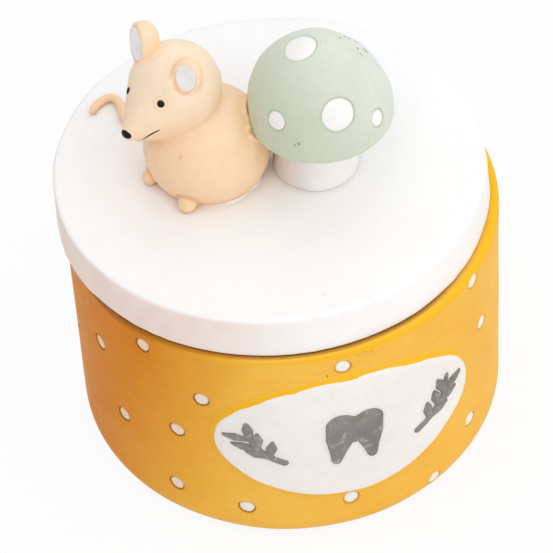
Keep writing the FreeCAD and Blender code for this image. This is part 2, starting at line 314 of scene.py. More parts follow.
def turned(profile: Array, columns: int) -> Skin:
    """Skin of a half profile turned about the Z axis, closed at its two ends on the axis.

    Args:
        profile: Radius and height of each point, with the solid on the left of the way along it.
        columns: Points round the axis.

    Returns:
        The closed skin.
    """
    rings = spun(*profile[1:-1].T, columns)
    ends = np.array([[0, 0, profile[0, 1]], [0, 0, profile[-1, 1]]])
    count = len(rings)
    faces = loop_faces(len(profile) - 2, columns)
    faces += fan_faces(count, range(columns), True)
    faces += fan_faces(count + 1, range(count - columns, count), False)
    return Skin.plain(np.concatenate([rings, ends]), faces)


def turned_normals(profile: Array, columns: int) -> Array:
    """Outward direction at each point of a turned skin."""
    along = unit(np.gradient(profile, axis=0))[1:-1]
    return np.concatenate([spun(along[:, 1], -along[:, 0], columns), [[0, 0, -1], [0, 0, 1]]])


class Ground(ABC):
    """Closed surface given by a field that is negative inside and grows about one to one outwards."""

    @abstractmethod
    def field(self, points: Array) -> Array:
        """Near distance from the surface at each point."""

    def normals(self, points: Array) -> tuple[Array, Array]:
        """Slope of the field at each point, as its direction and its steepness."""
        reach = 0.02
        slopes = [self.field(points + step) - self.field(points - step) for step in np.eye(3) * reach]
        slope = np.stack(slopes, -1) / (2 * reach)
        return unit(slope), np.linalg.norm(slope, axis=-1)

    def settle(self, points: Array, lift: Array | float = 0.0, rounds: int = 5) -> Array:
        """Points brought down to the surface.

        Args:
            points: Points near the surface.
            lift: Height above the surface at which they end.
            rounds: How often the step to the surface is repeated.

        Returns:
            The points, each on or above the surface.
        """
        for _ in range(rounds):
            ways, steepness = self.normals(points)
            points = points - ways * (self.field(points) / np.maximum(steepness, 0.2))[:, None]
        return points + self.normals(points)[0] * np.reshape(lift, (-1, 1))


def net_of(ground: Ground, low: Array, high: Array, cell: float) -> Skin:
    """Skin of a ground, found on a grid of cells and then settled on it.

    Args:
        ground: The surface.
        low: Lowest corner of the grid.
        high: Highest corner of the grid.
        cell: Side of a cell.

    Returns:
        The closed skin.
    """
    axes = [np.arange(start, end, cell) for start, end in zip(low, high)]
    grid = np.stack(np.meshgrid(*axes, indexing="ij"), -1)
    inside = (ground.field(grid.reshape(-1, 3)) < 0).reshape(grid.shape[:3])
    ends = (slice(None, -1), slice(1, None))
    corners = [inside[corner] for corner in itertools.product(ends, repeat=3)]
    crossed = np.sum(corners, axis=0) % len(corners) > 0
    number = np.full(crossed.shape, -1)
    number[crossed] = np.arange(crossed.sum())
    faces = []
    for axis in range(3):
        sides = np.moveaxis(inside, axis, 0)[:, 1:-1, 1:-1]
        cells = np.moveaxis(number, axis, 0)
        around = np.stack([cells[:, :-1, :-1], cells[:, 1:, :-1], cells[:, 1:, 1:], cells[:, :-1, 1:]], -1)
        for lower_inside in (True, False):
            met = (sides[:-1] == lower_inside) & (sides[1:] != lower_inside)
            quads = around[met]
            faces.append(quads if lower_inside == (axis != 1) else quads[:, ::-1])
    points = np.asarray(low) + cell * (np.argwhere(crossed) + 0.5)
    return Skin.plain(ground.settle(points, rounds=8), face_list(np.concatenate(faces)))


@dataclass(frozen=True)
class Ring:
    """One ring of an inlay: its share of the outline, how far beyond that, its lift, and its wash and painted
    shade.
    """

    share: float
    beyond: float
    lift: float
    wash_shade_light: float = 0.0


@dataclass(frozen=True)
class Inlay:
    """Small oval patch that follows the ground under it, with a slightly unsteady outline."""

    centre: Array
    half_width: float
    half_height: float
    seed: int
    unsteady: float = 0.05
    spokes: int = 48

    def skin(self, ground: Ground, rings: Sequence[Ring]) -> Skin:
        """Patch through a row of rings, from the inside to the outside.

        Args:
            ground: Surface that carries the patch.
            rings: The rings. A first ring of no size closes the patch at its middle.

        Returns:
            The patch, open at its edges.
        """
        middle = ground.settle(np.atleast_2d(self.centre))
        facing = ground.normals(middle)[0][0]
        rise = unit(np.array([0, 0, 1.0]) - facing * facing[2])
        across = np.cross(rise, facing)
        angles = full_turn(self.spokes)
        dice = np.random.default_rng(self.seed)
        wander = sum(np.sin(angles * times + dice.uniform(0, math.tau)) / times for times in (2, 3, 5))
        outline = np.stack([self.half_width * np.cos(angles), self.half_height * np.sin(angles)], -1)
        outline = outline * (1 + self.unsteady * wander)[:, None]
        away = unit(outline)
        flat = np.concatenate([outline * ring.share + away * ring.beyond for ring in rings])
        lift = np.repeat([ring.lift for ring in rings], self.spokes)
        points = ground.settle(middle + flat[:, :1] * across + flat[:, 1:] * rise, lift)
        wash_shade_light = np.repeat([ring.wash_shade_light for ring in rings], self.spokes)
        return Skin(points, loop_faces(len(rings), self.spokes), wash_shade_light)


# Finishes

# Patterns in the paint: how many swells there are in a metre, and the part of each pattern that shows
CLOUDS = 70.0
CLOUDS_SHOWN = (0.35, 0.68)
BRUSH_MARKS = 420.0
BRUSH_SHOWN = (0.4, 0.75)
BRUSH_SHARE = 0.6
BRUSH_ROUGH = (0.3, 0.7)
ROUGHNESS_SWING = (-0.07, 0.09)
GRAINS = 2600.0
GRAIN_SHARE = 0.35
RUBBED_PLACES = 900.0
RUBBED_SHOWN = (0.56, 0.66)
RUBBED_SHARE = 0.8
SPECKS = 230.0
SPECK_SIZES = (0.03, 0.06)
SPECKS_SHOWN = (0.72, 0.74)
# Open sky at which creases take their full wash and painted shade, and at which it stops
CREASE_SHADE_SHOWN = (0.25, 0.95)

# Thin varnish on the eyes and the nose
COAT_ROUGHNESS = 0.12


def linear(colour: Colour) -> tuple[float, float, float, float]:
    """Colour as it looks on screen, from 0 to 255, turned into the shader's linear values."""
    shares = [value / 255 for value in colour]
    curved = [share / 12.92 if share <= 0.04045 else ((share + 0.055) / 1.055) ** 2.4 for share in shares]
    return (*curved, 1.0)


class ShaderSheet:
    """Node tree of one material, with a short call to add and join nodes."""

    def __init__(self, name: str) -> None:
        """Start an empty material with its surface shader."""
        self.material = bpy.data.materials.new(name)
        self.material.use_nodes = True
        self.tree = self.material.node_tree
        self.surface = self.tree.nodes["Principled BSDF"]

    def add(self, kind: str, inputs: dict[str | int, object], **settings: object) -> bpy.types.Node:
        """New node.

        Args:
            kind: Blender's name of the node's type.
            inputs: Value of each socket, or the socket to join to it.
            settings: The node's own properties.

        Returns:
            The node.
        """
        node = self.tree.nodes.new(kind)
        for key, value in settings.items():
            setattr(node, key, value)
        self.feed(node, inputs)
        return node

    def feed(self, node: bpy.types.Node, inputs: dict[str | int, object]) -> None:
        """Set or join the sockets of a node."""
        for key, value in inputs.items():
            if isinstance(value, Socket):
                self.tree.links.new(value, node.inputs[key])
            else:
                node.inputs[key].default_value = value

    def blend(self, share: object, first: object, second: object, mode: str = "MIX") -> Socket:
        """Colour between two colours, or between a colour and its mix with another, by a share."""
        node = self.add("ShaderNodeMix", {0: share, 6: first, 7: second}, data_type="RGBA", blend_type=mode)
        return node.outputs[2]

    def noise(self, place: Socket, scale: float, detail: float) -> Socket:
        """Cloudy pattern with about this many swells per metre."""
        inputs = {"Vector": place, "Scale": scale, "Detail": detail, "Roughness": 0.55}
        return self.add("ShaderNodeTexNoise", inputs).outputs["Fac"]

    def spread(self, value: Socket, low: float, high: float, start: float, end: float) -> Socket:
        """Value from one range carried to another."""
        node = self.add("ShaderNodeMapRange", {0: value, 1: low, 2: high, 3: start, 4: end})
        return node.outputs[0]

    def product(self, first: object, second: object) -> Socket:
        """Two values multiplied."""
        return self.add("ShaderNodeMath", {0: first, 1: second}, operation="MULTIPLY").outputs[0]


@dataclass(frozen=True)
class PaintFinish:
    """Hand-brushed paint on cast resin: clouded colour, darker wash and painted shade in creases, specks,
    brush marks, and painted light and shade laid on by direction and by attribute.
    """

    name: str
    slot: Slot
    colour: Colour
    deep: Colour
    # Colour of wash in grooves and creases, of painted shade, and of the specks
    wash_and_shade: Colour
    mottle: float = 0.5
    crease_shade: float = 0.6
    crease_shade_reach: float = 1.6
    roughness: float = 0.5
    specular: float = 0.4
    brush_stretch: Triple = (1.0, 1.0, 1.0)
    brush_depth: float = 0.03
    speck: float = 0.0
    worn: Colour | None = None
    # Colour of painted highlight, sheen and warm reflection
    painted_light: Colour | None = None
    coat: float = 0.0
    # Painted light and shade: a colour the surface turns to along one direction, darker where lamps fall
    # weaker, paler where they fall stronger
    light_fall_colour: Colour | None = None
    light_fall_way: Triple = (-1.0, 0.0, 0.0)
    light_fall_reach: Pair = (0.0, 0.03)

    @cached_property
    def material(self) -> bpy.types.Material:
        """The finish as a material."""
        sheet = ShaderSheet(self.name)
        place = sheet.add("ShaderNodeTexCoord", {}).outputs["Object"]
        strokes = sheet.add("ShaderNodeMapping", {"Vector": place, "Scale": self.brush_stretch}).outputs[0]
        clouds = sheet.noise(place, CLOUDS, 3.0)
        brush = sheet.noise(strokes, BRUSH_MARKS, 5.0)
        grain = sheet.noise(place, GRAINS, 2.0)
        cloudy = sheet.spread(clouds, *CLOUDS_SHOWN, 0.0, self.mottle)
        streaky = sheet.spread(brush, *BRUSH_SHOWN, 0.0, self.mottle * BRUSH_SHARE)
        colour = linear(self.colour)
        deeper = tuple(low / high for low, high in zip(linear(self.deep), colour))
        # Painted light and shade along one direction
        if self.light_fall_colour:
            way = sheet.add("ShaderNodeVectorMath", {0: place, 1: self.light_fall_way}, operation="DOT_PRODUCT")
            far = sheet.spread(way.outputs["Value"], *self.light_fall_reach, 0.0, 1.0)
            colour = sheet.blend(far, colour, linear(self.light_fall_colour))
        colour = sheet.blend(cloudy, colour, deeper, "MULTIPLY")
        colour = sheet.blend(streaky, colour, deeper, "MULTIPLY")
        if self.worn:
            rubbed = sheet.spread(sheet.noise(place, RUBBED_PLACES, 4.0), *RUBBED_SHOWN, 0.0, RUBBED_SHARE)
            colour = sheet.blend(rubbed, colour, linear(self.worn))
        # Wash and painted shade where the surface sees little open sky: creases and contacts
        reach = self.crease_shade_reach * MILLIMETRE
        open_sky = sheet.add("ShaderNodeAmbientOcclusion", {"Distance": reach}, samples=8).outputs["AO"]
        painted_crease_shade = sheet.spread(open_sky, *CREASE_SHADE_SHOWN, self.crease_shade, 0.0)
        colour = sheet.blend(painted_crease_shade, colour, linear(self.wash_and_shade))
        # Attribute: above zero wash and painted shade, below zero painted light
        wash_shade_light_share = sheet.add("ShaderNodeAttribute", {}, attribute_name="wash_shade_light").outputs["Fac"]
        colour = sheet.blend(wash_shade_light_share, colour, linear(self.wash_and_shade))
        # Painted light: highlight, sheen and warm reflection where the attribute is below zero
        if self.painted_light:
            colour = sheet.blend(sheet.product(wash_shade_light_share, -1.0), colour, linear(self.painted_light))
        if self.speck:
            cells = sheet.add("ShaderNodeTexVoronoi", {"Vector": place, "Scale": SPECKS}).outputs
            near = sheet.spread(cells["Distance"], *SPECK_SIZES, 1.0, 0.0)
            chosen = sheet.spread(cells["Color"], *SPECKS_SHOWN, 0.0, self.speck)
            colour = sheet.blend(sheet.product(near, chosen), colour, linear(self.wash_and_shade))
        swing = [self.roughness + change for change in ROUGHNESS_SWING]
        rough = sheet.spread(brush, *BRUSH_ROUGH, *swing)
        marks = sheet.add("ShaderNodeMath", {0: brush, 1: sheet.product(grain, GRAIN_SHARE)}, operation="ADD")
        depth = self.brush_depth * MILLIMETRE
        bump = sheet.add("ShaderNodeBump", {"Height": marks.outputs[0], "Strength": 1.0, "Distance": depth})
        sheet.feed(sheet.surface, {
            "Base Color": colour,
            "Roughness": rough,
            "Normal": bump.outputs[0],
            "Specular IOR Level": self.specular,
            "Coat Weight": self.coat,
            "Coat Roughness": COAT_ROUGHNESS,
        })
        return sheet.material


# Mustard: the light-fall colour is painted shade on the pot's left and back; its painted light is highlight
# on the rim, sheen on the right and the medallion's gold halo
MUSTARD = PaintFinish(
    "mustard_satin", Slot.MUSTARD, (251, 197, 83), (243, 175, 50), (128, 72, 8),
    mottle=0.5, crease_shade=0.45, crease_shade_reach=1.2, brush_stretch=(1.0, 1.0, 5.0), specular=0.1, roughness=0.48,
    painted_light=(248, 190, 16), light_fall_colour=(223, 139, 9), light_fall_way=(-0.948, 0.2, 0.249), light_fall_reach=(0.0169, 0.0321),
)
# Lid white: painted warm reflection on the left side, a little paler towards the back, and crease shade
# standing in for the shadows round the figures
LID_WHITE = PaintFinish(
    "lid_white_satin", Slot.WHITE, (251, 250, 250), (247, 244, 243), (196, 190, 188),
    mottle=0.4, crease_shade=0.25, speck=0.3, roughness=0.52, brush_depth=0.03, painted_light=(243, 223, 212),
    light_fall_colour=(251, 252, 253), light_fall_way=(0.3, 0.95, 0.0), light_fall_reach=(0.0, 0.02),
)
# Dot white: painted shade, warmer and darker on the pot's left
DOT_WHITE = PaintFinish(
    "dot_white", Slot.WHITE, (250, 247, 240), (242, 234, 220), (190, 160, 110),
    mottle=0.5, crease_shade=0.35, crease_shade_reach=0.6, light_fall_colour=(244, 214, 188), light_fall_reach=(0.012, 0.031),
)
MEDALLION_WHITE = PaintFinish(
    "medallion_white", Slot.WHITE, (248, 245, 241), (240, 234, 230), (196, 176, 152),
    mottle=0.6, crease_shade=0.4, crease_shade_reach=0.8, brush_depth=0.05,
)
STEM_WHITE = PaintFinish(
    "stem_white", Slot.WHITE, (250, 247, 245), (242, 237, 233), (206, 186, 162),
    mottle=0.5, crease_shade=0.2, brush_stretch=(1.0, 1.0, 0.5),
)
RELIEF_GREY = PaintFinish(
    "relief_grey", Slot.GREY, (146, 141, 137), (122, 117, 113), (104, 98, 94),
    mottle=0.8, crease_shade=0.3, crease_shade_reach=0.5, roughness=0.6, worn=(170, 165, 160), brush_depth=0.05,
)
# Peach: painted highlight, paler towards the top of the head, and painted light on the ears and beside the
# cap
PEACH = PaintFinish(
    "mouse_peach", Slot.PEACH, (252, 221, 186), (247, 207, 164), (226, 154, 90),
    mottle=0.65, crease_shade=0.4, crease_shade_reach=1.6, roughness=0.5, brush_stretch=(1.6, 1.6, 0.6),
    brush_depth=0.045, painted_light=(254, 216, 172), light_fall_colour=(252, 236, 214),
    light_fall_way=(0.0, 0.0, 1.0), light_fall_reach=(0.058, 0.071),
)
EAR_WHITE = PaintFinish(
    "ear_white", Slot.WHITE, (250, 247, 246), (234, 230, 230), (198, 186, 180),
    mottle=0.7, crease_shade=0.3, crease_shade_reach=0.8,
)
# Sage: painted light, paler towards the cap's lit back and right
SAGE = PaintFinish(
    "cap_sage", Slot.SAGE, (206, 214, 191), (196, 205, 179), (156, 168, 140),
    mottle=0.7, crease_shade=0.15, speck=0.5, roughness=0.5, brush_stretch=(2.0, 2.0, 0.6), brush_depth=0.045,
    light_fall_colour=(237, 241, 236), light_fall_way=(0.765, 0.624, 0.156), light_fall_reach=(0.0017, 0.0307),
)
SPOT_WHITE = PaintFinish(
    "spot_white", Slot.WHITE, (250, 249, 247), (240, 238, 235), (190, 196, 180),
    mottle=0.5, crease_shade=0.35, crease_shade_reach=0.8, brush_depth=0.05,
)
BLACK = PaintFinish(
    "eye_black", Slot.BLACK, (20, 12, 10), (13, 8, 7), (9, 7, 6),
    mottle=0.5, crease_shade=0.2, roughness=0.4, specular=0.15, coat=0.05,
)
MOUTH_BROWN = PaintFinish(
    "mouth_brown", Slot.BLACK, (54, 38, 30), (42, 29, 23), (34, 24, 20),
    mottle=0.6, crease_shade=0.2, roughness=0.45,
)
CHIP_GREY = PaintFinish(
    "chip_grey", Slot.SAGE, (166, 171, 152), (148, 154, 136), (134, 140, 124),
    mottle=0.8, crease_shade=0.0, roughness=0.7,
)
SCUFF_BROWN = PaintFinish(
    "scuff_brown", Slot.MUSTARD, (214, 146, 30), (200, 130, 22), (180, 112, 16),
    mottle=0.8, crease_shade=0.0, roughness=0.7,
)


# Pieces


@dataclass(frozen=True)
class Piece:
    """One finished skin, the body that it rides on, and the solids that it stands for."""

    name: str
    skin: Skin
    rider: Rider
    finish: PaintFinish
    stands_for: tuple[str, ...] = ()

    def place(self) -> bpy.types.Object:
        """Put the piece in the scene.

        Returns:
            The new object.
        """
        mesh = bpy.data.meshes.new(self.name)
        mesh.from_pydata((self.skin.points * MILLIMETRE).tolist(), [], self.skin.faces)
        wash_shade_light = mesh.attributes.new("wash_shade_light", "FLOAT", "POINT")
        wash_shade_light.data.foreach_set("value", self.skin.wash_shade_light.astype(np.float32))
        mesh.materials.append(self.finish.material)
        mesh.shade_smooth()
        made = bpy.data.objects.new(self.name, mesh)
        bpy.context.scene.collection.objects.link(made)
        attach(made, self.rider.value)
        if self.stands_for:
            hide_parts(*self.stands_for)
        return made


class Assembly(ABC):
    """Sub-assembly that builds its pieces and dresses them."""

    @abstractmethod
    def build(self) -> Iterator[Piece]:
        """Make the skins of the sub-assembly, one piece after the other."""

    def dress(self) -> None:
        """Put each piece in the scene in its finish, and report it."""
        for piece in self.build():
            made = piece.place()
            faces = len(piece.skin.faces)
            log.info("%s: %d faces on %s in %s", made.name, faces, piece.rider.value, piece.finish.name)


# White paint that lies in a pocket of a coloured wall, and the lip of the pocket
POCKET_PAINT = (
    Ring(0.0, 0.0, -0.02), Ring(0.45, 0.0, -0.02), Ring(0.8, 0.0, -0.05), Ring(1.0, -0.1, -0.09),
    Ring(1.0, -0.03, -0.12), Ring(1.0, 0.02, -0.17), Ring(1.0, 0.06, -0.23),
)
# Its last numbers are the wash and painted shade in the dip round the paint
POCKET_LIP = (
    Ring(1.0, 0.0, -0.23, 1.0), Ring(1.0, 0.08, -0.17, 1.0), Ring(1.0, 0.15, -0.1, 0.95),
    Ring(1.0, 0.23, -0.03, 0.65), Ring(1.0, 0.33, 0.012, 0.2), Ring(1.0, 0.45, 0.016),
    Ring(1.0, 0.62, 0.008), Ring(1.0, 0.85, -0.04),
)
POCKET_DEPTH = 0.55
POCKET_EDGE = (0.18, 0.5)
POCKET_REACH = 3.0
POCKET_WANDER = 0.07

# Ragged patch where paint is gone
CHIP_UNSTEADY = 0.25
CHIP_SPOKES = 24
CHIP = (Ring(0.0, 0.0, 0.012), Ring(0.6, 0.0, 0.014), Ring(0.9, 0.0, 0.012), Ring(1.0, 0.04, -0.03))


def chip(ground: Ground, centre: Array, half_width: float, half_height: float, seed: int) -> Skin:
    """Small place where paint is knocked off.

    Args:
        ground: Surface that carries the paint.
        centre: Near the middle of the place.
        half_width: Half of its size across.
        half_height: Half of its size upwards.
        seed: Choice of its ragged outline.

    Returns:
        The patch.
    """
    patch = Inlay(centre, half_width, half_height, seed, unsteady=CHIP_UNSTEADY, spokes=CHIP_SPOKES)
    return patch.skin(ground, CHIP)


def pocket_lip(wash_and_shade: float) -> tuple[Ring, ...]:
    """Lip of a pocket with a share of the full wash and painted shade in the dip round its paint."""
    return tuple(Ring(ring.share, ring.beyond, ring.lift, ring.wash_shade_light * wash_and_shade) for ring in POCKET_LIP)


def sink_pockets(points: Array, normals: Array, inlays: Sequence[Inlay]) -> Array:
    """Wall points let in where pockets will cover them.

    Args:
        points: Points of the wall.
        normals: Outward direction at each point.
        inlays: Outlines of the pockets.

    Returns:
        The wall's points with the dips.
    """
    dip = np.zeros(len(points))
    for inlay in inlays:
        offset = points - inlay.centre
        facing = normals[np.argmin((offset**2).sum(1))]
        square = normals @ facing
        back = offset @ facing / np.maximum(square, 0.05)
        beside = offset - normals * back[:, None]
        gap = np.linalg.norm(beside, axis=1) - min(inlay.half_width, inlay.half_height)
        near = (square > 0) & (np.abs(back) < POCKET_REACH)
        dip = np.maximum(dip, (1 - ease(gap, *POCKET_EDGE)) * near)
    return points - normals * (POCKET_DEPTH * dip)[:, None]


def pocket_inlays(node: str, ground: Ground) -> list[Inlay]:
    """Outlines of the pockets that hold the solids of a group node.

    Args:
        node: Group of thin discs.
        ground: Wall that carries them.

    Returns:
        One inlay for each disc.
    """
    inlays = []
    for seed, island in enumerate(node_islands(node)):
        centre = ground.settle(np.atleast_2d((island.min(0) + island.max(0)) / 2))
        facing = ground.normals(centre)[0][0]
        offset = island - centre[0]
        radius = np.linalg.norm(offset - np.outer(offset @ facing, facing), axis=1).max()
        inlays.append(Inlay(centre[0], radius, radius, seed, unsteady=POCKET_WANDER / radius))
    return inlays


@dataclass
class PotWall(Ground):
    """Outside of the pot: a straight wall between a rounded base and a rounded rim."""

    radius: float
    height: float
    base_round: float
    rim_round: float
    uneven: Unevenness

    def field(self, points: Array) -> Array:
        """Near distance from the wall at each point."""
        out = np.hypot(points[:, 0], points[:, 1])
        below = np.maximum(self.base_round - points[:, 2], 0)
        base = np.hypot(np.maximum(out - self.radius + self.base_round, 0), below) - self.base_round
        above = np.maximum(points[:, 2] - self.height + self.rim_round, 0)
        rim = np.hypot(np.maximum(out - self.radius + self.rim_round, 0), above) - self.rim_round
        return np.where(below > 0, base, rim) - self.uneven.at(points)


@dataclass
class Pot(Assembly):
    """Dotted pot with a rounded base, a soft rim and the hollow for the teeth."""

    wall: float = 5.0
    floor: float = 5.0
    base_round: float = 5.3
    rim_round: float = 0.7
    # Wash and painted shade round the dots, stronger towards the pot's shaded left
    groove_wash_and_shade: Pair = (0.2, 0.75)
    groove_shade_shares: Pair = (-0.3, 0.5)
    # Reaches of the rim's painted shadow and painted highlight, and of the painted sheen on the right side:
    # out from the lid's edge, down from the top, or in shares of the pot's radius
    rim_shadow_wash: float = 0.82
    rim_shadow_start: Pair = (-1.0, -0.4)
    rim_shadow_end: Pair = (-0.05, 0.5)
    rim_shadow_depth: Pair = (2.4, 1.6)
    rim_shadow_front: Pair = (0.0, 0.3)
    rim_shadow_right: Pair = (0.55, 0.92)
    rim_shadow_loss: float = 0.8
    rim_shade: float = 0.6
    rim_shade_end: Pair = (0.2, 1.35)
    rim_painted_highlight: float = 0.85
    rim_highlight_depth: Pair = (1.7, 0.3)
    rim_highlight_right: Pair = (-0.75, -0.3)
    side_painted_light: float = 0.7
    side_painted_light_front: Pair = (0.45, 0.05)
    side_painted_light_right: Pair = (-0.7, 0.5)
    frontward: Pair = (-0.25, -0.9)
    rightward: Pair = (0.965, -0.263)
    mouth_round: float = 1.0
    hollow_round: float = 3.0
    flat_facing: Pair = (0.5, 0.95)
    step: float = 0.21
    wall_every: int = 2
    hollow_every: int = 6
    columns: int = 512
    uneven: Unevenness = Unevenness(0.07, 24.0, 3)
    scuffs: tuple[tuple[float, float, float, float], ...] = (
        (2.2, 40.2, 0.28, 0.07), (4.0, 40.5, 0.1, 0.13), (5.9, 40.0, 0.34, 0.06), (8.9, 39.9, 0.16, 0.08),
        (-6.1, 37.1, 0.13, 0.4),
    )
    low: Array = field(default_factory=lambda: node_box("pot")[0])
    high: Array = field(default_factory=lambda: node_box("pot")[1])

    @cached_property
    def ground(self) -> PotWall:
        """Outside of the pot as a ground."""
        radius = (self.high[0] - self.low[0]) / 2
        return PotWall(radius, self.high[2], self.base_round, self.rim_round, self.uneven)

    def profile(self) -> Array:
        """Half profile of the pot, from the middle of its base to the middle of its floor."""
        radius, height = self.ground.radius, self.high[2]
        hollow = radius - self.wall
        line = rounded_line([
            (0, 0, 0), (radius, 0, self.base_round), (radius, height, self.rim_round),
            (hollow, height, self.mouth_round), (hollow, self.floor, self.hollow_round), (0, self.floor, 0),
        ], self.step)
        row = np.arange(len(line))
        near_lid = line[:, 1] > height - self.rim_shadow_depth[0]
        dotted = (line[:, 0] > hollow + self.mouth_round) & (row % self.wall_every == 0)
        return line[near_lid | dotted | (row % self.hollow_every == 0) | (row == row[-1])]

    def rim_shade_light(self, points: Array) -> Array:
        """Painted shadow along the lid's edge, partly a wash, and below zero painted highlight on the rim and
        painted sheen on the right side.
        """
        low, high = node_box("lid")
        down = self.high[2] - points[:, 2]
        from_lid = points - (low + high) / 2 - np.array(LID_NUDGE)
        # Measured from the lid's edge as seen from the front, so that the painted shadow lies under its
        # overhang
        offset = from_lid[:, :2] + np.outer(down, self.frontward)
        out = np.linalg.norm(offset, axis=1) - (high[0] - low[0]) / 2
        right = points[:, :2] @ self.rightward / self.ground.radius
        front = points[:, :2] @ self.frontward / self.ground.radius
        # Painted shadow: dark just out from the lid's edge, softer shade further out, weaker towards the
        # right
        wash_and_shade = self.rim_shadow_wash * (1 - ease(out, *self.rim_shadow_end))
        shade = self.rim_shade * (1 - ease(out, *self.rim_shade_end))
        band = np.maximum(wash_and_shade, shade) * ease(out, *self.rim_shadow_start) * ease(down, *self.rim_shadow_depth)
        lost = self.rim_shadow_loss * ease(right, *self.rim_shadow_right)
        line = band * ease(front, *self.rim_shadow_front) * (1 - lost)
        # Painted highlight on the rim and painted sheen on the right side
        top = ease(down, *self.rim_highlight_depth) * ease(right, *self.rim_highlight_right)
        side = ease(front, *self.side_painted_light_front) * ease(right, *self.side_painted_light_right)
        painted_highlight = np.maximum(self.rim_painted_highlight * top, self.side_painted_light * side)
        return line - painted_highlight * (1 - line) ** 3

    def shell(self, pockets: Sequence[Inlay]) -> Skin:
        """Pot with dips for its dots, and the painted shadow and highlight of its rim."""
        profile = self.profile()
        skin = turned(profile, self.columns)
        normals = turned_normals(profile, self.columns)
        upright = (skin.points[:, 2] > self.step / 2) * (1 - ease(normals[:, 2], *self.flat_facing))
        points = skin.points + normals * (self.uneven.at(skin.points) * upright)[:, None]
        return Skin(sink_pockets(points, normals, pockets), skin.faces, self.rim_shade_light(skin.points))

    def lip(self, pocket: Inlay) -> Skin:
        """Lip of a dot's pocket, in the painted shadow and highlight of the place where it lies."""
        skin = pocket.skin(self.ground, pocket_lip(self.dot_groove_shade(pocket)))
        return Skin(skin.points, skin.faces, skin.wash_shade_light + self.rim_shade_light(skin.points) * (1 - skin.wash_shade_light))

    def worn_places(self) -> Skin:
        """Scuffs on the wall, placed by their angle from the front and their height."""
        patches = []
        for seed, (angle, height, half_width, half_height) in enumerate(self.scuffs):
            turn = math.radians(angle)
            out = self.ground.radius
            centre = np.array([math.sin(turn) * out, -math.cos(turn) * out, height])
            patches.append(chip(self.ground, centre, half_width, half_height, seed))
        return Skin.joined(patches)

    def dot_groove_shade(self, pocket: Inlay) -> float:
        """Wash and painted shade round a dot, stronger on the pot's shaded left."""
        leftward = -pocket.centre[0] / self.ground.radius
        return float(np.interp(leftward, self.groove_shade_shares, self.groove_wash_and_shade))

    def build(self) -> Iterator[Piece]:
        """Make the shell, the lips of its pockets and the dots in them."""
        pockets = pocket_inlays("pot_dots", self.ground)
        yield Piece("pot_shell", self.shell(pockets), Rider.POT, MUSTARD, ("pot",))
        yield Piece("dot_lips", Skin.joined([self.lip(pocket) for pocket in pockets]), Rider.POT, MUSTARD)
        dots = Skin.joined([pocket.skin(self.ground, POCKET_PAINT) for pocket in pockets])
        yield Piece("dot_paint", dots, Rider.POT, DOT_WHITE, ("pot_dots",))
        yield Piece("wall_scuffs", self.worn_places(), Rider.POT, SCUFF_BROWN)


@dataclass(frozen=True)
class Stroke:
    """One rounded stroke of a relief, from point to point with its half width at each."""

    points: tuple[Pair, ...]
    half_widths: tuple[float, ...]

    def distance(self, places: Array) -> Array:
        """Distance of each place on the medallion from the stroke, negative inside."""
        lines = itertools.pairwise(self.points)
        widths = itertools.pairwise(self.half_widths)
        return np.min([round_cone(places, *line, radii) for line, radii in zip(lines, widths)], axis=0)


